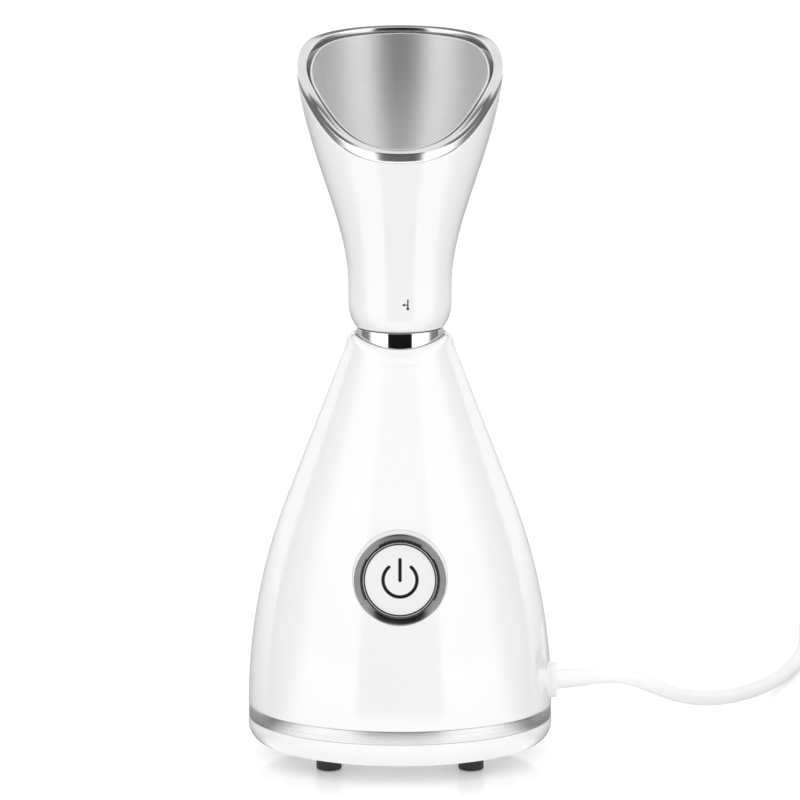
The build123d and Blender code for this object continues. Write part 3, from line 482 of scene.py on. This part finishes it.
# ---------------------------------------------------------------- neck ring
ring_bottom, ring_top = ring_low.z / MM, ring_high.z / MM
ring_radius = ring_high.x / MM
ring_outline = rounded([
    (13.6, ring_bottom, 0.2), (ring_radius, ring_bottom, 0.6),
    (ring_radius, ring_bottom + 3.0, 0.1), (ring_radius - 1.5, ring_bottom + 3.0, 0.1),
    (ring_radius - 1.5, ring_bottom + 5.0, 0.1), (ring_radius, ring_bottom + 5.0, 0.1),
    (ring_radius, ring_top, 0.25), (13.6, ring_top, 0.2),
])
neck = turned("neck_collar", lambda a: ring_outline, chrome)
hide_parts("neck_ring")
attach(neck, "neck")

# ---------------------------------------------------------------- head
head_bottom = head_low.z / MM
head_top = head_bottom + 104.4
WAIST_RADIUS = 18.65
WAIST_LOW = 8.9
WAIST_HIGH = 14.4
HEAD_FLAT = 15.9
MOUTH_RADIUS = 37.8
MOUTH_DROP = 36.2
TRIM_HEIGHT = 4.3
TRIM_WIDTH = 3.7
LINER_INSET = TRIM_WIDTH + 1.0
HEAD_WALL = 2.2
flare_bottom = head_bottom + WAIST_HIGH
flare = clamped_curve(
    [flare_bottom + up * (head_top - flare_bottom) for up in (0.0, 0.24, 0.47, 0.70, 1.0)],
    [WAIST_RADIUS + out * (MOUTH_RADIUS - WAIST_RADIUS) for out in (0.0, 0.17, 0.51, 0.83, 1.0)], 0, 0)
mouth = clamped_curve(
    [y * MOUTH_RADIUS for y in (-1.15, -0.78, -0.64, -0.42, 0.0, 0.25, 0.48, 0.70, 0.90, 1.10)],
    [head_top - MOUTH_DROP * (1 - up)
     for up in (0.0, 0.03, 0.16, 0.45, 0.72, 0.838, 0.925, 0.965, 0.986, 1.0)])
foot_curve = clamped_curve([0, 0.25, 0.55, 1.0],
                           [HEAD_FLAT, HEAD_FLAT + 1.35, HEAD_FLAT + 2.3, WAIST_RADIUS], None, 0)


def head_radius(z):
    if z < head_bottom + WAIST_LOW:
        t = (z - head_bottom) / WAIST_LOW
        return foot_curve(t)
    return WAIST_RADIUS if z < flare_bottom else flare(min(z, head_top))


def rim_height(angle, inset, drop):
    """Height where the mouth, lowered by drop, meets the head's face moved in by inset."""
    z = head_top - MOUTH_DROP / 2
    for _ in range(30):
        z = 0.5 * z + 0.5 * (mouth((head_radius(z) - inset) * sin(angle)) - drop)
    return z


def rise(inset, low, high, steps):
    """Points up the head's face, moved in by inset."""
    return [(head_radius(low + (high - low) * i / steps) - inset, low + (high - low) * i / steps)
            for i in range(steps + 1)]


web_low, web_high = head_bottom + 17.4, head_bottom + 21.4
NOZZLE_RADIUS = 9.0
HUB_BORE = 13.9


def head_outline(angle):
    top = rim_height(angle, 0, TRIM_HEIGHT)
    inner_top = rim_height(angle, HEAD_WALL, TRIM_HEIGHT)
    outline = [(HUB_BORE, head_bottom + 0.3), (HUB_BORE + 0.3, head_bottom), (HEAD_FLAT - 0.9, head_bottom),
               (HEAD_FLAT - 0.1, head_bottom + 0.12)]
    for z_share in (0.05, 0.1, 0.16, 0.24, 0.34, 0.46, 0.6, 0.8, 1.0):
        z = head_bottom + WAIST_LOW * z_share
        outline.append((head_radius(z), z))
    outline += rise(0, head_bottom + WAIST_LOW + 1.5, top - 0.25, 52)
    outline += [(head_radius(top) - 0.1, top - 0.05), (head_radius(top) - 0.35, top)]
    outline += [(head_radius(inner_top) - HEAD_WALL, inner_top)]
    outline += rise(HEAD_WALL, inner_top - 0.3, web_high + 0.3, 26)
    outline += [(head_radius(web_high) - HEAD_WALL - 0.3, web_high), (NOZZLE_RADIUS, web_high),
                (NOZZLE_RADIUS, web_low), (HUB_BORE, web_low)]
    return outline


head = turned("head_casing", head_outline, white_gloss, 256)
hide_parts("head_shell")
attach(head, "head")


def trim_outline(angle):
    """The bright rim: a flat outer band, a rounded crest that rolls in, and a groove under its inner lip."""
    band = []
    roll = 0.9 * max(0.0, -sin(angle))
    low = rim_height(angle, 0, TRIM_HEIGHT)
    high = rim_height(angle, 0, 0)
    for t in (0.04, 0.2, 0.4, 0.6, 0.78, 0.9):
        z = low + (high - low) * t
        band.append((head_radius(z) - 0.02, z))
    band += [(head_radius(high) - 0.1, high - 0.16), (head_radius(high) - 0.34, high - 0.03)]
    for t in (0.22, 0.4, 0.6, 0.78, 0.9):
        inset = TRIM_WIDTH * t
        z = rim_height(angle, inset, 0)
        band.append((head_radius(z) - inset, z - roll * t ** 2))
    lip = rim_height(angle, TRIM_WIDTH, 0)
    edge = head_radius(lip) - TRIM_WIDTH
    lip -= roll
    band += [(edge + 0.1, lip - 0.05), (edge, lip - 0.2), (edge, lip - 0.75), (edge + 0.1, lip - 0.85)]
    under = head_radius(lip) - 1.3
    floor_z = rim_height(angle, 1.3, TRIM_HEIGHT)
    band += [(under - 0.2, lip - 0.85), (under, lip - 1.0), (head_radius(floor_z) - 1.3, floor_z + 0.02)]
    band.append((head_radius(low) - 0.15, low + 0.01))
    return band


trim = turned("mouth_trim", trim_outline, trim_chrome, 256, 40)
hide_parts("head_trim")
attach(trim, "head")


def liner_outline(angle):
    top = rim_height(angle, LINER_INSET, 1.9)
    inset_in = LINER_INSET + 0.8
    floor = web_high + 0.8
    bend = 3.0
    outline = [(NOZZLE_RADIUS, floor), (NOZZLE_RADIUS, web_high + 0.05)]
    outline.append((head_radius(web_high) - LINER_INSET - bend, web_high + 0.05))
    outline += rise(LINER_INSET, web_high + bend, top - 0.2, 40)
    outline += [(head_radius(top) - LINER_INSET - 0.4, top)]
    outline += rise(inset_in, top - 0.2, floor + bend, 40)
    corner = (head_radius(floor + bend) - inset_in - bend, floor + bend)
    outline += arc_points(corner, bend, -0.15, -pi / 2, 6)
    return outline


liner = turned("steam_liner", liner_outline, liner_steel, 256)
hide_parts("head_liner")
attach(liner, "head")

# ---------------------------------------------------------------- index mark on the head
def head_print(name, outline):
    """A flat printed shape on the head's front: outline is (x, z) points in mm."""
    count = len(outline)
    vertices = []
    for proud in (0.04, -0.2):
        for x, z in outline:
            radius = head_radius(z) + proud
            vertices.append(Vector((x, -sqrt(radius ** 2 - x ** 2), z)) * MM)
    faces = [tuple(range(count)), tuple(range(count, 2 * count))]
    faces += [(i, (i + 1) % count, count + (i + 1) % count, count + i) for i in range(count)]
    return new_object(name, vertices, faces, black_print)


def round_spot(x, z, radius):
    return [(x + radius * cos(2 * pi * i / 20), z + radius * sin(2 * pi * i / 20)) for i in range(20)]


mark_low, mark_middle, mark_high = head_bottom + 9.2, head_bottom + 10.7, head_bottom + 12.7
index_mark = joined("index_mark", [
    head_print("mark_bar", [(2.62, mark_low), (3.06, mark_low), (3.06, mark_high), (2.62, mark_high)]),
    head_print("mark_spot", round_spot(2.84, mark_low + 0.1, 0.5)),
    head_print("mark_stem", [(1.5, mark_middle - 0.16), (2.7, mark_middle - 0.16),
                             (2.7, mark_middle + 0.16), (1.5, mark_middle + 0.16)]),
    head_print("mark_tip", [(0.7, mark_middle), (1.75, mark_middle - 0.55), (1.75, mark_middle + 0.55)]),
])
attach(index_mark, "head")

# ---------------------------------------------------------------- power button
bezel_profile = [
    (BEZEL_RADIUS, -6.0), (BEZEL_RADIUS, 0.0), (BEZEL_RADIUS - 0.06, 0.12), (BEZEL_RADIUS - 0.2, 0.19),
    (BEZEL_RADIUS - 0.9, 0.31), (BEZEL_RADIUS - 1.7, 0.44), (BEZEL_RADIUS - BEZEL_WALL + 0.2, 0.57),
    (BEZEL_RADIUS - BEZEL_WALL + 0.05, 0.5), (BEZEL_RADIUS - BEZEL_WALL, 0.35),
    (BEZEL_RADIUS - BEZEL_WALL, -6.0),
]
bezel = seat_ring("button_ring", bezel_profile, dark_chrome)
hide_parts("button_bezel")
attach(bezel, "base")

cap_profile = [(0.0, -3.0), (CAP_RADIUS - 0.3, -3.0), (CAP_RADIUS, -2.7), (CAP_RADIUS, -0.95),
               (CAP_RADIUS - 0.1, -0.62), (CAP_RADIUS - 0.4, -0.4), (CAP_RADIUS - 0.8, -0.32)]
cap_profile += [((CAP_RADIUS - 0.8) * (1 - i / 14), -0.32) for i in range(1, 15)]
cap = seat_ring("button_face", cap_profile, white_button)
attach(cap, "power_button")
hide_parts("button_cap")


def seat_stroke(name, path, width, material, closed=False, proud=0.04):
    """A printed line on the button's face: path is (x, y) points in the seat, in mm."""
    count = len(path)
    vertices = []
    for i, (x, y) in enumerate(path):
        before = path[i - 1] if closed or i > 0 else path[i]
        after = path[(i + 1) % count] if closed or i < count - 1 else path[i]
        way = Vector((after[0] - before[0], after[1] - before[1])).normalized()
        side = Vector((-way.y, way.x)) * width / 2
        for sign, height in ((1, proud - 0.012), (0, proud), (-1, proud - 0.012), (-1, -0.25), (1, -0.25)):
            px, py = x + side.x * sign, y + side.y * sign
            vertices.append(seat_place @ (Vector((px, py, seat_depth(px, py) - 0.32 + height)) * MM))
    rows = 5
    faces = []
    for c in range(count if closed else count - 1):
        beside = (c + 1) % count
        for r in range(rows):
            above = (r + 1) % rows
            faces.append((c * rows + r, beside * rows + r, beside * rows + above, c * rows + above))
    if not closed:
        faces += [tuple(range(rows)), tuple(range((count - 1) * rows, count * rows))]
    return new_object(name, vertices, faces, material)


def ring_path(radius, start, end, steps, centre=(0.0, 0.0)):
    return [(centre[0] + radius * sin(start + (end - start) * i / steps),
             centre[1] + radius * cos(start + (end - start) * i / steps)) for i in range(steps + 1)]


EDGE_LINE_RADIUS = CAP_RADIUS - 0.68
SYMBOL_RADIUS = 6.1
SYMBOL_STROKE = 1.22
SYMBOL_GAP = radians(41)
edge_line = seat_stroke("button_edge_line", ring_path(EDGE_LINE_RADIUS, 0, 2 * pi, 120)[:-1],
                        0.5, black_print, True)
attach(edge_line, "power_button")


arc = seat_stroke("symbol_arc", ring_path(SYMBOL_RADIUS, SYMBOL_GAP, 2 * pi - SYMBOL_GAP, 60), SYMBOL_STROKE,
                  black_print)
bar = seat_stroke("symbol_bar", [(0.0, -0.2 + 7.5 * i / 10) for i in range(11)], SYMBOL_STROKE, black_print)
dots = []
for x, y in ((SYMBOL_RADIUS * sin(SYMBOL_GAP), SYMBOL_RADIUS * cos(SYMBOL_GAP)),
             (-SYMBOL_RADIUS * sin(SYMBOL_GAP), SYMBOL_RADIUS * cos(SYMBOL_GAP)), (0.0, -0.2), (0.0, 7.3)):
    rim = [(x + SYMBOL_STROKE / 2 * cos(a), y + SYMBOL_STROKE / 2 * sin(a))
           for a in [2 * pi * i / 20 for i in range(20)]]
    spots = [seat_place @ (Vector((px, py, seat_depth(px, py) - 0.32 + h)) * MM)
             for h in (0.028, -0.25) for px, py in rim]
    sides = [(i, (i + 1) % 20, 20 + (i + 1) % 20, 20 + i) for i in range(20)]
    ends = [tuple(range(20)), tuple(range(20, 40))]
    dots.append(new_object("symbol_end", spots, ends + sides, black_print))
symbol = joined("power_symbol", [arc, bar] + dots)
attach(symbol, "power_button")

# ---------------------------------------------------------------- lead: bush, cord, coil, tail, plug
lead_height = (bush_low.z + bush_high.z) / 2 / MM
BUSH_STAND = 2.0
sleeve_root = Vector((base_radius, 0, lead_height))
sleeve_tip = Vector(cord_route[0])
sleeve_way = (sleeve_tip - sleeve_root).normalized()


def swept_round(name, stations, material, columns=48, sharp=35):
    """A closed piece along stations of (centre, direction, radius), in mm."""
    vertices, faces = [], []
    for centre, way, radius in stations:
        side = way.cross(Vector((0, 0, 1))).normalized()
        up = side.cross(way)
        for c in range(columns):
            angle = 2 * pi * c / columns
            vertices.append((centre + side * radius * cos(angle) + up * radius * sin(angle)) * MM)
    for s in range(len(stations) - 1):
        for c in range(columns):
            beside = (c + 1) % columns
            faces.append((s * columns + c, s * columns + beside,
                          (s + 1) * columns + beside, (s + 1) * columns + c))
    faces.append(tuple(range(columns)))
    faces.append(tuple(range((len(stations) - 1) * columns, len(stations) * columns)))
    return new_object(name, vertices, faces, material, sharp)


flange_x = base_radius + BUSH_STAND
across = Vector((1, 0, 0))
flange_stations = [(Vector((x, 0, lead_height)), across, r) for x, r in (
    (base_radius - 2.2, 5.6), (base_radius - 0.9, 6.2), (base_radius - 0.85, 6.5), (flange_x - 0.9, 6.5),
    (flange_x - 0.4, 6.42), (flange_x - 0.12, 6.2), (flange_x, 5.85), (flange_x, 4.3),
    (flange_x - 0.05, 3.9))]
flange = swept_round("bush_flange", flange_stations, white_rubber)
sleeve_length = (sleeve_tip - sleeve_root).length
sleeve_stations = []
for i in range(13):
    t = i / 12
    sleeve_stations.append((sleeve_root + sleeve_way * sleeve_length * t, sleeve_way, 3.72 - 0.62 * t ** 0.8))
sleeve_stations.append((sleeve_tip + sleeve_way * 0.0, sleeve_way, 2.9))
sleeve = swept_round("bush_sleeve", sleeve_stations, white_rubber)
bush = joined("cord_gland", [flange, sleeve])
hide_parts("cord_bush")
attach(bush, "base")

coil_centre = (coil_low + coil_high) / 2 / MM
coil_floor = coil_low.z / MM + CORD_DIAMETER / MM / 2 + 0.15
outer_turn = (coil_high.x - coil_low.x) / 2 / MM - CORD_DIAMETER / MM / 2 - 0.3
pitch = CORD_DIAMETER / MM + 0.15
layer = pitch * 0.87
# radius and height of each turn: three on the floor from outside in, then two nested on top of them
turns = [
    (outer_turn, coil_floor),
    (outer_turn - pitch, coil_floor),
    (outer_turn - 2 * pitch, coil_floor),
    (outer_turn - 1.5 * pitch, coil_floor + layer),
    (outer_turn - 0.5 * pitch, coil_floor + layer),
]
STEPS_PER_TURN = 24
coil_points = []
total_steps = int(4.5 * STEPS_PER_TURN)
for step in range(total_steps + 1):
    turn, share = divmod(step, STEPS_PER_TURN)
    share /= STEPS_PER_TURN
    radius, height = turns[turn]
    if share > 0.72 and turn < 4:
        blend = (share - 0.72) / 0.28
        blend = blend * blend * (3 - 2 * blend)
        next_radius, next_height = turns[turn + 1]
        radius += (next_radius - radius) * blend
        height += (next_height - height) * blend
    angle = pi - 2 * pi * step / STEPS_PER_TURN
    coil_points.append((coil_centre.x + radius * cos(angle), coil_centre.y + radius * sin(angle), height))

# ---------------------------------------------------------------- plug
plug_x = (plug_low.x + plug_high.x) / 2 / MM
plug_z = (plug_low.z + plug_high.z) / 2 / MM
plug_face, plug_end = plug_low.y / MM, plug_high.y / MM
PLUG_THICK = (plug_high.z - plug_low.z) / MM


def plug_section(y, half_width, half_height, corner):
    corner = min(corner, half_width - 0.01, half_height - 0.01)
    points = []
    for quarter, (sx, sz) in enumerate(((1, 1), (-1, 1), (-1, -1), (1, -1))):
        centre = (sx * (half_width - corner), sz * (half_height - corner))
        points += arc_points(centre, corner, pi / 2 * quarter, pi / 2 * (quarter + 1), 6)
    return [Vector((plug_x + px, y, plug_z + pz)) * MM for px, pz in points]


half_wide = clamped_curve([0, 4.5, 11, 18, 25, 32, 38, 48, 57],
                          [12.4, 16.3, 16.2, 13.4, 9.2, 6.6, 5.4, 4.9, 4.2])
half_tall = clamped_curve([0, 12, 20, 28, 36, 48, 57],
                          [PLUG_THICK / 2 - 0.1, PLUG_THICK / 2 - 0.1, 6.0, 5.1, 4.7, 4.4, 4.0])
stations = [(0.0, 12.0, PLUG_THICK / 2 - 1.0, 1.0), (0.25, 12.6, PLUG_THICK / 2 - 0.4, 1.2)]
step = 0.6
while step < plug_end - plug_face:
    groove = 0.14 if 17 < step < 31 and int(step / 0.7) % 2 else 0.0
    if 38 < step < 52:
        groove = 0.75 if int(step / 1.4) % 2 else 0.0
    blend_round = min(1.0, max(0.0, (step - 14) / 22))
    stations.append((step, half_wide(step) - groove, half_tall(step) - groove, 1.6 + 3.0 * blend_round))
    step += 0.35
stations.append((plug_end - plug_face, 3.6, 3.6, 3.5))
vertices, faces = [], []
for y, half_width, half_height, corner in stations:
    vertices += plug_section(plug_face + y, half_width, half_height, corner)
round_count = len(vertices) // len(stations)
for row in range(len(stations) - 1):
    for c in range(round_count):
        beside = (c + 1) % round_count
        faces.append((row * round_count + c, row * round_count + beside,
                      (row + 1) * round_count + beside, (row + 1) * round_count + c))
last_row = (len(stations) - 1) * round_count
faces += [tuple(range(round_count)), tuple(range(last_row, last_row + round_count))]
plug = new_object("plug", vertices, faces, black_plastic, 25)
bowl = [(9.0 * sin(t), 7.7 - 9.0 * cos(t)) for t in [0.001 + 0.075 * i for i in range(10)]]
hollow = turned("hollow", lambda a: bowl + [(0.01, 7.0)], black_plastic, 48,
                place=Matrix.Translation(Vector((plug_x, plug_face + 13.0, plug_z + PLUG_THICK / 2)) * MM))
cut(plug, [hollow])
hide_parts("plug_body")
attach(plug, "base")

PIN_SPACING = 18.6
pin_tip = pins_low.y / MM
lay_along = Matrix.Rotation(radians(90), 4, "X")
sleeves, tips = [], []
for side in (-1, 1):
    root = Vector((plug_x + side * PIN_SPACING / 2, plug_face + 1.0, plug_z))
    spot = Matrix.Translation(root * MM) @ lay_along
    reach = plug_face + 1.0 - pin_tip
    sleeve_outline = [(0.0, 0.0), (1.95, 0.0), (1.95, 10.4), (1.8, 10.8), (0.0, 10.8)]
    tip_outline = [(0.0, 10.6), (1.75, 10.6), (1.98, 10.9), (1.98, reach - 1.6), (1.8, reach - 0.8),
                   (1.35, reach - 0.25), (0.7, reach - 0.03), (0.0, reach)]
    sleeves.append(turned("sleeve", lambda a: sleeve_outline, black_plastic, 40, place=spot))
    tips.append(turned("tip", lambda a: tip_outline, nickel, 40, place=spot))
pin_sleeves = joined("pin_sleeves", sleeves)
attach(pin_sleeves, "base")
pin_tips = joined("pin_tips", tips)
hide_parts("plug_pins")
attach(pin_tips, "base")

cord_points = cord_route + coil_points + cord_tail[1:]
curve = bpy.data.curves.new("mains_lead", "CURVE")
curve.dimensions = "3D"
curve.bevel_depth = CORD_DIAMETER / 2
curve.bevel_resolution = 8
curve.resolution_u = 8
curve.use_fill_caps = True
spline = curve.splines.new("NURBS")
spline.points.add(len(cord_points) - 1)
for point, place in zip(spline.points, cord_points):
    point.co = (*(Vector(place) * MM), 1)
spline.order_u = 3
spline.use_endpoint_u = True
curve.materials.append(white_rubber)
lead = bpy.data.objects.new("mains_lead", curve)
bpy.context.scene.collection.objects.link(lead)
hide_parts("mains_cord", "cord_coil", "cord_tail")
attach(lead, "base")

# ---------------------------------------------------------------- materials of the CAD pieces
node_looks = {
    white_gloss: ["base_pan"],
    white_matte: ["neck_spigot", "steam_nozzle", "steam_tube", "inner_frame", "switch_housing", "cord_clamp"],
    white_rubber: ["supply_lead"],
    tank_plastic: ["water_tank"],
    black_rubber: ["tank_seal", "neck_oring"],
    black_plastic: ["relay", "tact_switch", "switch_connector", "switch_stem", "cord_tie"],
    board_green: ["circuit_board", "switch_board"],
    part_yellow: ["filter_capacitor"],
    part_blue: ["terminal_block"],
    wire_red: ["heater_leads", "switch_lead"],
    ceramic: ["heater_plate", "thermostat", "thermal_fuse", "board_fuse"],
    aluminium: ["boiler_cup"],
    satin_steel: ["heater_clamp", "base_screws", "frame_screws", "boiler_screws", "heater_screws",
                  "board_screws", "clamp_screws"],
}
for material, names in node_looks.items():
    for name in names:
        slots = frame["nodes"][name].data.materials
        slots.clear()
        slots.append(material)

# ---------------------------------------------------------------- floor and light
DARK_CARD, WHITE_CARD, GREY_CARD = 0.005, 1.25, 0.14


def calculate(tree, operation, first, second=None, clamp=False):
    node = tree.nodes.new("ShaderNodeMath")
    node.operation = operation
    node.use_clamp = clamp
    for socket, value in zip(node.inputs, (first, second)):
        if value is None:
            continue
        if isinstance(value, (int, float)):
            socket.default_value = value
        else:
            tree.links.new(value, socket)
    return node.outputs[0]


def grey_ramp(tree, value, stops):
    """A ramp of greys: stops are (position, brightness)."""
    ramp = tree.nodes.new("ShaderNodeValToRGB")
    ramp.color_ramp.interpolation = "EASE"
    while len(ramp.color_ramp.elements) < len(stops):
        ramp.color_ramp.elements.new(0.5)
    for element, (position, grey) in zip(ramp.color_ramp.elements, stops):
        element.position = position
        element.color = (grey, grey, grey, 1)
    tree.links.new(value, ramp.inputs["Fac"])
    return ramp.outputs["Color"]


def studio_bands(tree, x, y, card):
    """Brightness of the studio around the object: a dark card in front, softboxes beside it, grey behind."""
    turn = calculate(tree, "ARCTAN2", calculate(tree, "ABSOLUTE", x), calculate(tree, "MULTIPLY", y, -1.0))
    turn = calculate(tree, "DIVIDE", turn, pi)
    sides = grey_ramp(tree, turn, ((0.0, WHITE_CARD), (0.40, WHITE_CARD), (0.52, GREY_CARD * 1.5),
                                   (0.72, GREY_CARD), (1.0, GREY_CARD)))
    return blend(tree, grey_ramp(tree, turn, ((0.0, 1.0), (0.165, 1.0), (0.19, 0.0))), sides, card), turn


def blend(tree, share, first, second):
    node = tree.nodes.new("ShaderNodeMix")
    node.data_type = "RGBA"
    for socket, value in ((node.inputs[0], share), (node.inputs[6], first), (node.inputs[7], second)):
        if isinstance(value, (tuple, float)):
            socket.default_value = value
        else:
            tree.links.new(value, socket)
    return node.outputs[2]


world = bpy.data.worlds.new("studio")
bpy.context.scene.world = world
world.use_nodes = True
tree = world.node_tree
background = tree.nodes["Background"]
direction = tree.nodes.new("ShaderNodeSeparateXYZ")
tree.links.new(tree.nodes.new("ShaderNodeTexCoord").outputs["Generated"], direction.inputs[0])
way_x, way_y, way_z = direction.outputs
rays = tree.nodes.new("ShaderNodeLightPath").outputs
bands, turn = studio_bands(tree, way_x, way_y, (DARK_CARD, DARK_CARD, DARK_CARD, 1))
upper = grey_ramp(tree, turn, ((0.0, 0.80), (0.15, 0.95), (0.28, 1.3), (0.40, 1.8), (0.5, 2.0), (0.65, 1.8),
                               (0.85, 1.2), (1.0, 0.9)))
raised = tree.nodes.new("ShaderNodeMapRange")
raised.inputs["From Min"].default_value = 0.42
raised.inputs["From Max"].default_value = 0.62
tree.links.new(way_z, raised.inputs["Value"])
bands = blend(tree, raised.outputs[0], bands, upper)
overhead = tree.nodes.new("ShaderNodeMapRange")
overhead.inputs["From Min"].default_value = 0.72
overhead.inputs["From Max"].default_value = 0.84
tree.links.new(way_z, overhead.inputs["Value"])
top = grey_ramp(tree, turn, ((0.0, 0.10), (0.14, 0.12), (0.30, 0.9), (1.0, 0.9)))
bands = blend(tree, overhead.outputs[0], bands, top)
# a pale strip low behind the object, which the floor mirrors
low = calculate(tree, "LESS_THAN", way_z, 0.24)
behind = calculate(tree, "GREATER_THAN", turn, 0.67)
bands = blend(tree, calculate(tree, "MULTIPLY", low, behind), bands, (1.05, 1.05, 1.05, 1))
soft = calculate(tree, "ADD", calculate(tree, "MULTIPLY", way_y, -0.35),
                 calculate(tree, "MULTIPLY", way_z, 0.5))
soft = calculate(tree, "ADD", soft, 0.82)
pale = tree.nodes.new("ShaderNodeCombineColor")
for socket in pale.inputs:
    tree.links.new(soft, socket)
lit = blend(tree, rays["Is Glossy Ray"], pale.outputs[0], bands)
tree.links.new(blend(tree, rays["Is Camera Ray"], lit, (1.05, 1.05, 1.05, 1)), background.inputs["Color"])
bpy.context.scene.view_settings.view_transform = "Standard"

# Floor: to reflections (glossy rays) its colour and glow are painted studio light, not a real floor pattern:
# a bright patch within 0.195 m of the middle, a dark card ring beyond it, and the softbox and dark-card bands
# round the object, all halved. To all other rays it is an even pale floor (0.76) that glows evenly (0.26),
# which lifts the shadows on it.
floor_material, tree, floor_shader = node_material("studio_floor")[:3]
spot = tree.nodes.new("ShaderNodeSeparateXYZ")
tree.links.new(tree.nodes.new("ShaderNodeNewGeometry").outputs["Position"], spot.inputs[0])
reach = calculate(tree, "SQRT", calculate(tree, "ADD", calculate(tree, "POWER", spot.outputs[0], 2.0),
                                         calculate(tree, "POWER", spot.outputs[1], 2.0)))
# painted reflection light: bright near the middle, a dark card ring further out, darkest beyond
card = grey_ramp(tree, reach, ((0.0, 1.35), (0.195, 1.35), (0.23, 0.065), (0.36, 0.065), (0.48, DARK_CARD)))
bands, turn = studio_bands(tree, spot.outputs[0], spot.outputs[1], card)
rays = tree.nodes.new("ShaderNodeLightPath").outputs
# the painted studio bands at half strength, used as the floor's colour and glow for glossy rays only
painted_reflection_half = blend(tree, 0.5, bands, (0.0, 0.0, 0.0, 1))
for socket, grey in (("Base Color", 0.76), ("Emission Color", 0.26)):
    shade = blend(tree, rays["Is Glossy Ray"], (grey, grey, grey, 1), painted_reflection_half)
    tree.links.new(shade, floor_shader.inputs[socket])
floor_shader.inputs["Emission Strength"].default_value = 1.0
floor_shader.inputs["Roughness"].default_value = 0.1
floor_shader.inputs["Specular IOR Level"].default_value = 0.25
half_floor = 8.0
floor = new_object("studio_floor", [(-half_floor, -half_floor, 0), (half_floor, -half_floor, 0),
                                    (half_floor, half_floor, 0), (-half_floor, half_floor, 0)],
                   [(0, 1, 2, 3)], floor_material)
